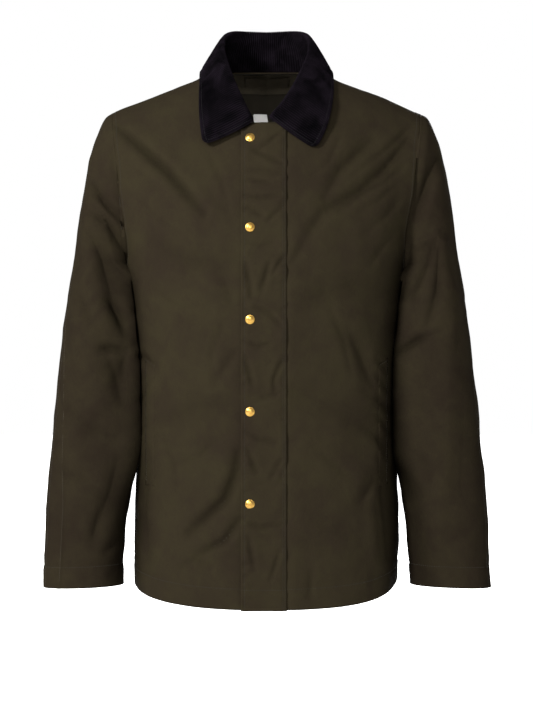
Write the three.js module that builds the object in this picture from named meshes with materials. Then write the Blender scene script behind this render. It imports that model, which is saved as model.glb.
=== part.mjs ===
// A waxed cotton field jacket with a corduroy collar, filled out as if worn, with no wearer in it.
// Millimetres. +Z is up, the front faces -Y, and +X is on the right as the front is looked at,
// which is the wearer's left. The origin is midway between the two points where the shoulder
// seams meet the neckline, where the wearer's shoulders hold the jacket up.
import * as THREE from "three";

const CLOTH = 1.6; // wall of the waxed cotton with its lining
const COLLAR_CLOTH = 2.4; // two layers of corduroy
const COLLAR_FRONT_LIFT = 3; // how far the collar's front ends are above the neckline
const SEAM_GAP = 0.5; // between the edges of pieces that are sewn together
const LAYER_GAP = 0.4; // between a piece and the panel that it lies on

const AXIS_Y = 5; // the plane of the shoulder and side seams
const ARMPIT_Z = -290;
const SECTION_POWER = 2.5; // a torso section is a little squarer than an ellipse
const SHOULDER_POWER = 2.5; // so is the arch over the shoulders, seen from the side

const NECK_HALF_WIDTH = 78;
const NECK_FRONT_Z = -80;
const NECK_BACK_Z = 14;
const SHOULDER_TIP_X = 214;
const SHOULDER_SLOPE = 0.41;
const SHOULDER_TOP_Z = 2.4; // at the neckline
const NECK_RISE = 35; // how much the ridge of the shoulders would rise above its slope at the neck's centre
const NECK_RISE_REACH = 110;

const HEM_SIDE_Z = -699;
const HEM_FRONT_DROP = 32;
const HEM_BACK_DROP = 15;

const FLAP_EDGE_X = -34; // the storm flap's free edge
const FLAP_SEAM_X = 27; // its seam to the wearer's left front
const FLAP_LIFT = CLOTH + LAYER_GAP;
const FLAP_BLEND_X = 72; // the left front is back at the torso's own surface here
const UNDERLAP_X = 26.4; // the wearer's right front ends here, under the flap

const SNAP_X = -22;
const SNAP_TOP_Z = -98;
const SNAP_PITCH = 123;
const SNAP_COUNT = 5;
const SNAP_RADIUS = 6.3;
const SNAP_HEIGHT = 2.6;

const SLEEVE_POWER = 2.3;
const SLEEVE_CLEARANCE = 3; // between a sleeve and the torso beside it
const ARMHOLE_SHAPE_STEPS = 6; // the sleeve has the armhole's shape at its head and its own from here on

// How many faces each piece is divided into.
const HEM_TO_ARMPIT = 15;
const ARMPIT_TO_NECK = 8;
const AROUND_NECK = 5;
const ACROSS_PANEL = 13;
const AROUND_HALF_SLEEVE = ARMPIT_TO_NECK + AROUND_NECK;
const ALONG_SLEEVE = 26;
const NECKWARD_CROWDING = 1.5; // rows lie closer together towards the neckline
const ACROSS_FLAP = 4;
const ALONG_HALF_COLLAR = 14;
const ACROSS_COLLAR = 11;
const FINE = 80; // steps in which a curve is measured before it is divided evenly

const OLIVE = { color: 0x3d3828, roughness: 0.62, metalness: 0 };
const CORDUROY = { color: 0x15121a, roughness: 0.95, metalness: 0 };
const BRASS = { color: 0xc9a85a, roughness: 0.28, metalness: 1 };
const WHITE = { color: 0xd8d6d0, roughness: 0.6, metalness: 0 };

// The torso's half width and its depth in front of and behind the seam plane, at each height.
const TORSO = [
  { z: -735, halfWidth: 181, front: 146, back: 128 },
  { z: -690, halfWidth: 184, front: 144, back: 127 },
  { z: -640, halfWidth: 185, front: 142, back: 125 },
  { z: -560, halfWidth: 182, front: 139, back: 121 },
  { z: -480, halfWidth: 181, front: 138, back: 118 },
  { z: -400, halfWidth: 182, front: 139, back: 118 },
  { z: -340, halfWidth: 187, front: 141, back: 122 },
  { z: -290, halfWidth: 192, front: 142, back: 126 },
  { z: -230, halfWidth: 205, front: 140, back: 127 },
  { z: -170, halfWidth: 218, front: 132, back: 126 },
  { z: -100, halfWidth: 232, front: 117, back: 122 },
  { z: -50, halfWidth: 240, front: 105, back: 119 },
  { z: 15, halfWidth: 245, front: 95, back: 116 },
];

// Where the armhole seam lies, seen from the front.
const ARMHOLE = [
  { z: ARMPIT_Z, x: 192 },
  { z: -270, x: 190.5 },
  { z: -230, x: 192 },
  { z: -170, x: 198 },
  { z: -100, x: 207 },
  { z: -55, x: 214 },
];

// Sections of a sleeve from the armhole to the cuff: its outermost and innermost points, the depth
// of its middle, half its thickness from front to back, and how far forward its outer seam is turned.
const SLEEVE = [
  { step: 0, outerX: 214, outerZ: -53.6, innerX: 192, innerZ: -290, middleY: 5, halfDepth: 62, seamTurn: 0 },
  { step: 1, outerX: 225, outerZ: -61, innerX: 194, innerZ: -296, middleY: 5, halfDepth: 65, seamTurn: 3 },
  { step: 2, outerX: 236, outerZ: -84, innerX: 196, innerZ: -303, middleY: 4, halfDepth: 67, seamTurn: 7 },
  { step: 3, outerX: 244, outerZ: -107, innerX: 197, innerZ: -309, middleY: 3, halfDepth: 69, seamTurn: 11 },
  { step: 4, outerX: 250, outerZ: -135, innerX: 197, innerZ: -315, middleY: 2, halfDepth: 70, seamTurn: 15 },
  { step: 5, outerX: 255.5, outerZ: -168, innerX: 196, innerZ: -322, middleY: 0, halfDepth: 71, seamTurn: 18 },
  { step: 6, outerX: 261, outerZ: -205, innerX: 194, innerZ: -331, middleY: -3, halfDepth: 72, seamTurn: 21 },
  { step: 7, outerX: 266.5, outerZ: -250, innerX: 190, innerZ: -343, middleY: -6, halfDepth: 72, seamTurn: 23 },
  { step: 8, outerX: 273.8, outerZ: -297, innerX: 186, innerZ: -359, middleY: -9, halfDepth: 71, seamTurn: 24 },
  { step: 9, outerX: 280.5, outerZ: -345, innerX: 184, innerZ: -383, middleY: -12, halfDepth: 69, seamTurn: 25 },
  { step: 10, outerX: 286.2, outerZ: -395, innerX: 183, innerZ: -415, middleY: -15, halfDepth: 67, seamTurn: 25 },
  { step: 11, outerX: 290.5, outerZ: -440, innerX: 183, innerZ: -450, middleY: -18, halfDepth: 64, seamTurn: 25 },
  { step: 12, outerX: 295, outerZ: -490, innerX: 184, innerZ: -492, middleY: -21, halfDepth: 61, seamTurn: 25 },
  { step: 13, outerX: 299.5, outerZ: -540, innerX: 185, innerZ: -536, middleY: -24, halfDepth: 58, seamTurn: 25 },
  { step: 14, outerX: 303.2, outerZ: -590, innerX: 188, innerZ: -582, middleY: -27, halfDepth: 54, seamTurn: 25 },
  { step: 15, outerX: 306.2, outerZ: -640, innerX: 193, innerZ: -630, middleY: -30, halfDepth: 50, seamTurn: 25 },
  { step: 16, outerX: 308.5, outerZ: -680, innerX: 197, innerZ: -674, middleY: -32, halfDepth: 46, seamTurn: 25 },
  { step: 17, outerX: 309, outerZ: -711, innerX: 197, innerZ: -707, middleY: -34, halfDepth: 43, seamTurn: 25 },
];

// The under side of half the collar, from the centre back (0) to its front end (1): where along the
// neckline it is sewn, the line that it folds over, its outer edge, and how round the fold is.
const COLLAR = [
  { at: 0, seam: -90, foldX: 0, foldY: 84, foldZ: 72, edgeX: 0, edgeY: 106, edgeZ: -8, round: 6 },
  { at: 0.2, seam: -62, foldX: 32, foldY: 77, foldZ: 71, edgeX: 46, edgeY: 98, edgeZ: -6, round: 6 },
  { at: 0.38, seam: -28, foldX: 54, foldY: 54, foldZ: 66, edgeX: 79, edgeY: 70, edgeZ: 0, round: 6 },
  { at: 0.52, seam: 4, foldX: 66, foldY: 18, foldZ: 54, edgeX: 90, edgeY: 26, edgeZ: 5, round: 6 },
  { at: 0.64, seam: 26, foldX: 65, foldY: -20, foldZ: 33, edgeX: 91, edgeY: -12, edgeZ: -2, round: 5.5 },
  { at: 0.75, seam: 44, foldX: 56, foldY: -50, foldZ: 11, edgeX: 91, edgeY: -48, edgeZ: -22, round: 5 },
  { at: 0.85, seam: 60, foldX: 44, foldY: -74, foldZ: -18, edgeX: 89, edgeY: -74, edgeZ: -50, round: 4.5 },
  { at: 0.93, seam: 72, foldX: 31, foldY: -90, foldZ: -50, edgeX: 86, edgeY: -89, edgeZ: -80, round: 4 },
  { at: 1, seam: 81, foldX: 15, foldY: -98, foldZ: -72, edgeX: 81, edgeY: -99, edgeZ: -105, round: 3.5 },
];

// The largest folds: straight soft troughs (a ridge has a negative depth), as seen from the front or
// back, each between two places given by X and Z. They die away towards the side seams.
const FOLDS = [
  { on: "front", x: -203, z: -82, toX: -138, toZ: -145, halfWidth: 15, depth: 6 },
  { on: "front", x: -138, z: -145, toX: -78, toZ: -204, halfWidth: 16, depth: 6 },
  { on: "front", x: 195, z: -84, toX: 112, toZ: -128, halfWidth: 18, depth: 4 },
  { on: "front", x: 112, z: -128, toX: 62, toZ: -221, halfWidth: 19, depth: 5 },
  { on: "front", x: -56, z: -612, toX: -104, toZ: -658, halfWidth: 14, depth: 6 },
  { on: "front", x: 138, z: -352, toX: 158, toZ: -410, halfWidth: 15, depth: 4 },
  { on: "back", x: -180, z: -120, toX: -90, toZ: -215, halfWidth: 18, depth: 6 },
  { on: "back", x: 180, z: -120, toX: 85, toZ: -205, halfWidth: 18, depth: 6 },
  { on: "back", x: -120, z: -430, toX: 20, toZ: -455, halfWidth: 20, depth: 5 },
  { on: "back", x: 130, z: -400, toX: 40, toZ: -440, halfWidth: 18, depth: 4 },
  { on: "front", x: -246, z: -160, toX: -203, toZ: -216, halfWidth: 12, depth: 6 },
  { on: "front", x: -250, z: -196, toX: -198, toZ: -258, halfWidth: 12, depth: -5 },
  { on: "front", x: -190, z: -390, toX: -236, toZ: -382, halfWidth: 14, depth: 8 },
  { on: "front", x: 240, z: -122, toX: 212, toZ: -190, halfWidth: 12, depth: 8 },
  { on: "front", x: 212, z: -190, toX: 199, toZ: -262, halfWidth: 12, depth: 9 },
  { on: "front", x: 226, z: -362, toX: 194, toZ: -388, halfWidth: 13, depth: 8 },
  { on: "back", x: -195, z: -385, toX: -240, toZ: -378, halfWidth: 15, depth: 6 },
  { on: "back", x: 195, z: -380, toX: 240, toZ: -372, halfWidth: 15, depth: 6 },
];

// The pocket's welt, on each side: its front edge from the top down, and its width.
const WELT_TOP_Z = -404;
const WELT_LENGTH = 165;
const WELT_FRONT_X = 152;
const WELT_WIDTH = 13;
const WELT_POINT = 9; // its upper end slants up towards the side seam
const WELT_CLOTH = 1.2;
const WELT_STEPS = 8;

// Pieces on the inside of the back: a facing under the neckline, a hanger loop and a label.
const EDGE_INSET = 0.6;
const FACING_HALF_WIDTH = 62;
const FACING_BOTTOM_Z = -14;
const FACING_CLOTH = 1;
const LOOP_HALF_LENGTH = 34;
const LOOP_TOP_Z = 8;
const LOOP_WIDTH = 12;
const LOOP_CLOTH = 1.2;
const LABEL_MIDDLE_X = -9;
const LABEL_WIDTH = 25;
const LABEL_TOP_Z = -42;
const LABEL_LENGTH = 34;
const LABEL_SLANT = 5;
const LABEL_CLOTH = 0.8;

const FOLD_FADE = 30; // how far from the seam plane a fold has its whole depth

const radians = THREE.MathUtils.degToRad;
const mix = (a, b, t) => a + (b - a) * t;
const clamp01 = (t) => Math.min(1, Math.max(0, t));
const smooth = (t) => clamp01(t) ** 2 * (3 - 2 * clamp01(t));
const point = (x, y, z) => new THREE.Vector3(x, y, z);

// A column of a table between its rows, as a smooth curve through them.
function along(table, column, at, by = "z") {
  const last = table.length - 1;
  let row = 0;
  while (row < last - 1 && at > table[row + 1][by]) row += 1;
  const slope = (i) => {
    const before = table[Math.max(0, i - 1)];
    const after = table[Math.min(last, i + 1)];
    return (after[column] - before[column]) / (after[by] - before[by]);
  };
  const span = table[row + 1][by] - table[row][by];
  const t = clamp01((at - table[row][by]) / span);
  const rise = 3 * t * t - 2 * t * t * t;
  return (
    mix(table[row][column], table[row + 1][column], rise) +
    span * (t - 2 * t * t + t * t * t) * slope(row) +
    span * (t * t * t - t * t) * slope(row + 1)
  );
}

// The height of the ridge of the shoulders, which goes on over the open neck.
function ridge(x) {
  const away = Math.abs(x);
  const rise = NECK_RISE * Math.max(0, 1 - away / NECK_RISE_REACH) ** 2;
  return SHOULDER_TOP_Z + rise - SHOULDER_SLOPE * (away - NECK_HALF_WIDTH);
}

// The ridge as the rows of a panel follow it, which in front is level across the open neck.
const rowRidge = (x, face) => ridge(face < 0 ? Math.max(Math.abs(x), NECK_HALF_WIDTH) : x);

const oneLess = (share, power) => (1 - clamp01(share) ** power) ** (1 / power);

// The torso's surface: its Y at a place seen from the front (face -1) or from behind (face 1).
function torsoY(x, z, face) {
  const across = oneLess(Math.abs(x) / along(TORSO, "halfWidth", z), SECTION_POWER);
  const up = (z - ARMPIT_Z) / (ridge(x) - ARMPIT_Z);
  const arch = z > ARMPIT_Z ? oneLess(up, SHOULDER_POWER) : 1;
  return AXIS_Y + face * along(TORSO, face < 0 ? "front" : "back", z) * across * arch;
}

// The torso's half width at a depth and height below the armpits.
function torsoX(y, z) {
  const depth = along(TORSO, y < AXIS_Y ? "front" : "back", z);
  return along(TORSO, "halfWidth", z) * oneLess(Math.abs(y - AXIS_Y) / depth, SECTION_POWER);
}

function hemZ(x, face) {
  const halfWidth = along(TORSO, "halfWidth", HEM_SIDE_Z);
  const drop = face < 0 ? HEM_FRONT_DROP : HEM_BACK_DROP;
  return HEM_SIDE_Z - drop * oneLess(Math.abs(x) / halfWidth, SECTION_POWER);
}

// A place on the neckline: -90 degrees is the centre back, 0 the shoulder and 90 the centre front.
function neckline(degrees) {
  const face = degrees > 0 ? -1 : 1;
  const sideways = Math.cos(radians(degrees));
  const x = NECK_HALF_WIDTH * sideways;
  const side = ridge(NECK_HALF_WIDTH);
  const end = face < 0 ? NECK_FRONT_Z : NECK_BACK_Z;
  const z = mix(side, end, Math.abs(Math.sin(radians(degrees))) ** (face < 0 ? 1 : 2));
  return point(x, degrees === 0 ? AXIS_Y : torsoY(x, z, face), z);
}

// Where the neckline is at an X, in degrees from the shoulder.
const necklineAt = (x) => radians(90) - Math.asin(x / NECK_HALF_WIDTH);

// A line through many points, divided into equal lengths.
function evenly(line, parts) {
  const lengths = [0];
  for (let i = 1; i < line.length; i += 1) lengths.push(lengths[i - 1] + line[i].distanceTo(line[i - 1]));
  const total = lengths[line.length - 1];
  const made = [];
  let i = 1;
  for (let part = 0; part <= parts; part += 1) {
    const goal = (total * part) / parts;
    while (i < line.length - 1 && lengths[i] < goal) i += 1;
    const t = (goal - lengths[i - 1]) / (lengths[i] - lengths[i - 1]);
    made.push(line[i - 1].clone().lerp(line[i], t));
  }
  return made;
}

// The armhole from the armpit to the tip of the shoulder, on the front or the back.
function armhole(face) {
  const line = [];
  const tipZ = ridge(SHOULDER_TIP_X);
  for (let i = 0; i <= FINE; i += 1) {
    const z = mix(ARMPIT_Z, tipZ, (1 - Math.cos((Math.PI * i) / FINE)) / 2);
    const x = along(ARMHOLE, "x", z);
    line.push(point(x, torsoY(x, z, face), z));
  }
  line[0].y = AXIS_Y;
  line[FINE].set(SHOULDER_TIP_X, AXIS_Y, tipZ);
  return evenly(line, AROUND_HALF_SLEEVE);
}

// A line divided into its parts across a panel. A front's first parts end at the flap's free edge.
function acrossPanel(line, stripX) {
  if (stripX === null) return evenly(line, ACROSS_PANEL);
  const cut = line.findIndex((p) => p.x >= stripX);
  const t = (stripX - line[cut - 1].x) / (line[cut].x - line[cut - 1].x);
  const place = line[cut - 1].clone().lerp(line[cut], t);
  const strip = evenly([...line.slice(0, cut), place], ACROSS_FLAP);
  return [...strip, ...evenly([place, ...line.slice(cut)], ACROSS_PANEL - ACROSS_FLAP).slice(1)];
}

// Half a front or back as rows of points from its centre edge to the side seam or armhole, on the
// +X side. nearX is where its centre edge lies, and stripX where the strip beside that ends, if any.
function halfPanel(face, nearX, stripX = null) {
  const arm = armhole(face);
  const neckStart = face < 0 ? THREE.MathUtils.radToDeg(necklineAt(nearX)) : -90;
  const neckZ = neckline(neckStart).z;
  const rows = [];
  for (let row = 0; row < HEM_TO_ARMPIT; row += 1) {
    const t = row / HEM_TO_ARMPIT;
    const line = [];
    for (let i = 0; i <= FINE; i += 1) {
      const share = Math.sin((Math.PI * i) / FINE / 2);
      const sideZ = mix(HEM_SIDE_Z, ARMPIT_Z, t);
      const sideX = along(TORSO, "halfWidth", sideZ);
      const x = mix(nearX, sideX, share);
      const z = mix(hemZ(i === FINE ? 1e3 : x, face), ARMPIT_Z, t);
      line.push(point(x, i === FINE ? AXIS_Y : torsoY(x, z, face), z));
    }
    rows.push(acrossPanel(line, stripX));
  }
  for (let row = 0; row <= AROUND_HALF_SLEEVE; row += 1) {
    const t = row / AROUND_HALF_SLEEVE;
    const alongNeck = (row - ARMPIT_TO_NECK) / AROUND_NECK;
    const rise = 1 - (1 - clamp01(row / ARMPIT_TO_NECK)) ** NECKWARD_CROWDING;
    const start =
      row <= ARMPIT_TO_NECK
        ? point(nearX, 0, mix(ARMPIT_Z, neckZ, rise))
        : neckline(mix(neckStart, 0, alongNeck));
    if (row <= ARMPIT_TO_NECK) start.y = torsoY(nearX, start.z, face);
    const end = arm[row];
    const line = [];
    for (let i = 0; i <= FINE; i += 1) {
      const share = Math.sin((Math.PI * i) / FINE / 2);
      const x = mix(start.x, end.x, share);
      const straight = mix(start.z, end.z, share);
      const belowRidge = mix(rowRidge(start.x, face) - start.z, rowRidge(end.x, face) - end.z, share);
      const z = mix(straight, rowRidge(x, face) - belowRidge, t);
      line.push(point(x, row === AROUND_HALF_SLEEVE ? AXIS_Y : torsoY(x, z, face), z));
    }
    line[0].copy(start);
    line[FINE].copy(end);
    const evenX = mix(start.x, end.x, ACROSS_FLAP / ACROSS_PANEL);
    const plain = stripX === null || row === AROUND_HALF_SLEEVE;
    rows.push(acrossPanel(line, plain ? null : mix(stripX, evenX, clamp01(alongNeck))));
  }
  return rows;
}

// Half a sleeve on the +X side, as rows of points around it from its outer seam to its inner one.
// Its first row is the armhole's own points.
function halfSleeve(face) {
  const arm = armhole(face).reverse();
  const head = SLEEVE[0];
  const rows = [arm];
  for (let row = 1; row <= ALONG_SLEEVE; row += 1) {
    const step = ((SLEEVE.length - 1) * row) / ALONG_SLEEVE;
    const at = (column) => along(SLEEVE, column, step, "step");
    const shaped = smooth(step / ARMHOLE_SHAPE_STEPS);
    const outer = point(at("outerX"), at("middleY"), at("outerZ"));
    const inner = point(at("innerX"), at("middleY"), at("innerZ"));
    const centre = outer.clone().lerp(inner, 0.5);
    const half = outer.clone().sub(inner).multiplyScalar(0.5);
    const line = arm.map((edge, i) => {
      const turn = mix(radians(at("seamTurn")) * -face, Math.PI, i / AROUND_HALF_SLEEVE);
      const round = (value) => Math.sign(value) * Math.abs(value) ** (2 / SLEEVE_POWER);
      const headOut = (2 * (edge.z - head.innerZ)) / (head.outerZ - head.innerZ) - 1;
      const headDeep = (edge.y - AXIS_Y) / head.halfDepth;
      const out = mix(headOut, round(Math.cos(turn)), shaped);
      const deep = mix(headDeep, face * round(Math.sin(turn)), shaped);
      const made = centre.clone().addScaledVector(half, out);
      made.y += deep * at("halfDepth");
      if (made.z < ARMPIT_Z) made.x = Math.max(made.x, torsoX(made.y, made.z) + SLEEVE_CLEARANCE);
      return made;
    });
    rows.push(line);
  }
  return rows;
}

// How deep the folds are at a place.
function foldDepth(place) {
  let depth = 0;
  for (const fold of FOLDS) {
    const dx = fold.toX - fold.x;
    const dz = fold.toZ - fold.z;
    const length = Math.hypot(dx, dz);
    const lengthwise = ((place.x - fold.x) * dx + (place.z - fold.z) * dz) / length;
    const aside = ((place.x - fold.x) * dz - (place.z - fold.z) * dx) / length;
    const past = Math.max(0, -lengthwise, lengthwise - length) / fold.halfWidth;
    const face = fold.on === "front" ? -1 : 1;
    const share = smooth((face * (place.y - AXIS_Y)) / FOLD_FADE);
    depth += share * fold.depth * Math.exp(-((aside / fold.halfWidth) ** 2) - past ** 2);
  }
  return depth;
}

// A sheet is a list of points and the quads between them, seen anticlockwise from outside.
function sheet(rows, flip, mirror = 1) {
  const points = [];
  const quads = [];
  const width = rows[0].length;
  for (const row of rows) for (const p of row) points.push(point(mirror * p.x, p.y, p.z));
  for (let r = 0; r + 1 < rows.length; r += 1) {
    for (let c = 0; c + 1 < width; c += 1) {
      const a = r * width + c;
      const quad = [a, a + 1, a + width + 1, a + width];
      quads.push(flip ? quad.reverse() : quad);
    }
  }
  return { points, quads };
}

const key = (p) => [p.x, p.y, p.z].map((v) => Math.round(v * 50)).join();

// Two sheets as one, with the points that they share used once.
function joined(a, b) {
  const seen = new Map();
  const points = [];
  const quads = [];
  for (const one of [a, b]) {
    const places = one.points.map((p) => {
      if (!seen.has(key(p))) seen.set(key(p), points.push(p) - 1);
      return seen.get(key(p));
    });
    for (const quad of one.quads) quads.push(quad.map((i) => places[i]));
  }
  return { points, quads };
}

// Gives each sheet its normals. Where sheets meet, their points get one normal between them, so that
// the cut edges of pieces that are sewn together stay parallel.
function giveNormals(sheets) {
  const sums = new Map();
  for (const { points, quads } of sheets) {
    const own = points.map(() => point(0, 0, 0));
    for (const quad of quads) {
      const [a, b, c, d] = quad.map((i) => points[i]);
      const face = c.clone().sub(a).cross(d.clone().sub(b));
      for (const i of quad) own[i].add(face);
    }
    points.forEach((p, i) => {
      const sum = sums.get(key(p)) ?? point(0, 0, 0);
      sums.set(key(p), sum.add(own[i].normalize()));
    });
  }
  for (const one of sheets) one.normals = one.points.map((p) => sums.get(key(p)).clone().normalize());
}

// The directed edges that only one quad has.
function openEdges(quads) {
  const edges = new Map();
  for (const quad of quads) {
    quad.forEach((from, i) => edges.set(`${from},${quad[(i + 1) % quad.length]}`, [from, quad[(i + 1) % quad.length]]));
  }
  return [...edges.values()].filter(([from, to]) => !edges.has(`${to},${from}`));
}

// Draws a sheet's open edges back along the sheet by half a seam gap.
function drawBack({ points, quads, normals }) {
  const inward = points.map(() => []);
  for (const [from, to] of openEdges(quads)) {
    const edge = points[to].clone().sub(points[from]);
    for (const i of [from, to]) inward[i].push(normals[i].clone().cross(edge).normalize());
  }
  return points.map((p, i) => {
    if (!inward[i].length) return p;
    const [a, b] = inward[i];
    const both = a.clone().add(b);
    return p.clone().addScaledVector(both, SEAM_GAP / 2 / (1 + a.dot(b)));
  });
}

// A closed wall on a sheet: the sheet moved out, the sheet moved in, and a rim along its open edges.
function wall(made, outward, inward) {
  const edgePoints = drawBack(made);
  const count = edgePoints.length;
  const moved = (distance) => edgePoints.map((p, i) => p.clone().addScaledVector(made.normals[i], distance));
  const faces = [];
  for (const quad of made.quads) {
    faces.push(quad);
    const [a, b, c, d] = quad.map((i) => i + count);
    faces.push([a, d, c, b]);
  }
  // The rims of two pieces that meet are divided alike, so that they stay parallel.
  for (const [from, to] of openEdges(made.quads)) {
    const rim = [to, from, from + count, to + count];
    const same = made.points[from].z < made.points[to].z;
    faces.push(same ? rim : [rim[1], rim[2], rim[3], rim[0]]);
  }
  const geometry = new THREE.BufferGeometry();
  geometry.setFromPoints([...moved(outward), ...moved(-inward)]);
  geometry.setIndex(faces.flatMap(([a, b, c, d]) => [a, b, c, a, c, d]));
  geometry.computeVertexNormals();
  return geometry;
}

const jacket = new THREE.Group();

function addPiece(name, geometry, look) {
  const mesh = new THREE.Mesh(geometry, new THREE.MeshStandardMaterial(look));
  mesh.name = name;
  jacket.add(mesh);
  return mesh;
}

// Moves a sheet's points in by the folds.
function crease(made) {
  made.points = made.points.map((p, i) => p.clone().addScaledVector(made.normals[i], -foldDepth(p)));
}

// The wearer's left front rises to the storm flap's level at their seam.
function liftToFlap(made) {
  made.points = made.points.map((p, i) => {
    const share = 1 - smooth((p.x - FLAP_SEAM_X) / (FLAP_BLEND_X - FLAP_SEAM_X));
    return p.clone().addScaledVector(made.normals[i], FLAP_LIFT * share);
  });
}

// The place on a sheet that is seen at an X and Z, and the sheet's direction there.
function onSheet(made, x, z) {
  for (const quad of made.quads) {
    for (const corners of [[quad[0], quad[1], quad[2]], [quad[0], quad[2], quad[3]]]) {
      const [a, b, c] = corners.map((i) => made.points[i]);
      const area = (b.x - a.x) * (c.z - a.z) - (c.x - a.x) * (b.z - a.z);
      const shareB = ((x - a.x) * (c.z - a.z) - (c.x - a.x) * (z - a.z)) / area;
      const shareC = ((b.x - a.x) * (z - a.z) - (x - a.x) * (b.z - a.z)) / area;
      const shareA = 1 - shareB - shareC;
      if (Math.min(shareA, shareB, shareC) < -1e-6) continue;
      const blend = ([p, q, r]) =>
        p.clone().multiplyScalar(shareA).addScaledVector(q, shareB).addScaledVector(r, shareC);
      return { place: blend([a, b, c]), normal: blend(corners.map((i) => made.normals[i])).normalize() };
    }
  }
  throw new Error(`nothing at ${x}, ${z}`);
}

// A sheet of its own over rows of X and Z on another sheet.
function laidOn(made, rows, flip) {
  const found = rows.map((row) => row.map(([x, z]) => onSheet(made, x, z)));
  const laid = sheet(found.map((row) => row.map((one) => one.place)), flip);
  laid.normals = found.flat().map((one) => one.normal);
  return laid;
}

// Rows of X and Z from a bottom line to a top line over some columns.
function grid(columns, rows, bottomZ, topZ) {
  const made = [];
  for (let row = 0; row <= rows; row += 1) {
    made.push(columns.map((x) => [x, mix(bottomZ(x), topZ(x), row / rows)]));
  }
  return made;
}

const columnsBetween = (from, to, parts) => [...Array(parts + 1).keys()].map((i) => mix(from, to, i / parts));

function bodyAndSleeves() {
  const backHalf = halfPanel(1, 0);
  const sheets = {
    back: joined(sheet(backHalf, true), sheet(backHalf, false, -1)),
    front_right: sheet(halfPanel(-1, -UNDERLAP_X, -FLAP_EDGE_X), true, -1),
    front_left: sheet(halfPanel(-1, FLAP_SEAM_X), false),
    sleeve_left_front: sheet(halfSleeve(-1), false),
    sleeve_left_back: sheet(halfSleeve(1), true),
    sleeve_right_front: sheet(halfSleeve(-1), true, -1),
    sleeve_right_back: sheet(halfSleeve(1), false, -1),
  };
  giveNormals(Object.values(sheets));
  liftToFlap(sheets.front_left);
  for (const made of Object.values(sheets)) crease(made);
  return sheets;
}

// The storm flap is the strip of the front under it, moved out.
function flapOn({ points, quads, normals }) {
  const width = ACROSS_PANEL + 1;
  const rows = HEM_TO_ARMPIT + ARMPIT_TO_NECK - 1;
  const kept = quads.filter(([a, b, c, d]) => {
    const corner = Math.min(a, b, c, d);
    return corner % width < ACROSS_FLAP && Math.floor(corner / width) < rows;
  });
  const used = [...new Set(kept.flat())];
  const place = new Map(used.map((i, n) => [i, n]));
  return {
    points: used.map((i) => points[i]),
    normals: used.map((i) => normals[i]),
    quads: kept.map((quad) => quad.map((i) => place.get(i))),
  };
}

function addSnap(number, flap) {
  const { place, normal } = onSheet(flap, SNAP_X, SNAP_TOP_Z - SNAP_PITCH * (number - 1));
  const profile = [
    [0, 0],
    [SNAP_RADIUS - 0.5, 0],
    [SNAP_RADIUS, 0.5],
    [SNAP_RADIUS - 0.2, 1.2],
    [SNAP_RADIUS * 0.75, SNAP_HEIGHT - 0.4],
    [SNAP_RADIUS * 0.4, SNAP_HEIGHT],
    [0, SNAP_HEIGHT],
  ].map(([radius, height]) => new THREE.Vector2(radius, height));
  const mesh = addPiece(`snap_${number}`, new THREE.LatheGeometry(profile, 16), BRASS);
  mesh.position.copy(place).addScaledVector(normal, FLAP_LIFT + 1.5 * LAYER_GAP);
  mesh.quaternion.setFromUnitVectors(point(0, 1, 0), normal);
}

// The under side of the collar at a share of its length and of its width. It rises from the neckline
// to the fold as one curve and falls to the outer edge as another.
function collarPoint(at, across) {
  const get = (column) => along(COLLAR, column, at, "at");
  const fold = point(get("foldX"), get("foldY"), get("foldZ"));
  const edge = point(get("edgeX"), get("edgeY"), get("edgeZ"));
  const seam = neckline(get("seam"));
  const lift = mix(LAYER_GAP + SEAM_GAP, COLLAR_FRONT_LIFT, smooth((get("seam") - 40) / 40));
  seam.z += lift * (1 - Math.abs(Math.cos(radians(get("seam")))) / 2);
  seam.x -= lift * Math.abs(Math.cos(radians(get("seam"))));
  const out = point(edge.x - seam.x, edge.y - seam.y, 0).normalize();
  const round = get("round");
  const foldShare = 0.45;
  const curve =
    across < foldShare
      ? new THREE.CubicBezierCurve3(
          seam,
          seam.clone().lerp(point(seam.x, seam.y, fold.z), 0.5),
          fold.clone().addScaledVector(out, -round),
          fold,
        )
      : new THREE.CubicBezierCurve3(
          fold,
          fold.clone().addScaledVector(out, round),
          edge.clone().lerp(fold, 0.4).addScaledVector(out, round * 0.6),
          edge,
        );
  const t = across < foldShare ? across / foldShare : (across - foldShare) / (1 - foldShare);
  return curve.getPoint(t);
}

function addCollar() {
  const rows = [];
  for (let i = -ALONG_HALF_COLLAR; i <= ALONG_HALF_COLLAR; i += 1) {
    const row = [];
    for (let j = 0; j <= ACROSS_COLLAR; j += 1) {
      const place = collarPoint(Math.abs(i) / ALONG_HALF_COLLAR, j / ACROSS_COLLAR);
      row.push(point(i < 0 ? -place.x : place.x, place.y, place.z));
    }
    rows.push(row);
  }
  const made = sheet(rows, true);
  giveNormals([made]);
  addPiece("collar", wall(made, COLLAR_CLOTH, 0), CORDUROY);
}

function addWelt(name, side, front) {
  const columns = columnsBetween(WELT_FRONT_X, WELT_FRONT_X + WELT_WIDTH, 2);
  const top = (x) => WELT_TOP_Z + (WELT_POINT * (x - WELT_FRONT_X)) / WELT_WIDTH;
  const rows = grid(columns, WELT_STEPS, () => WELT_TOP_Z - WELT_LENGTH, top);
  const made = laidOn(front, rows.map((row) => row.map(([x, z]) => [side * x, z])), side < 0);
  const under = 2 * LAYER_GAP;
  addPiece(name, wall(made, under + WELT_CLOTH, -under), OLIVE);
}

// A piece on the inside of the back, and how many layers are between it and the back.
function addInside(name, back, rows, cloth, layersUnder, look) {
  const made = laidOn(back, rows, true);
  const under = CLOTH + LAYER_GAP + layersUnder * (FACING_CLOTH + 2 * LAYER_GAP);
  addPiece(name, wall(made, -under, under + cloth), look);
}

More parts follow.
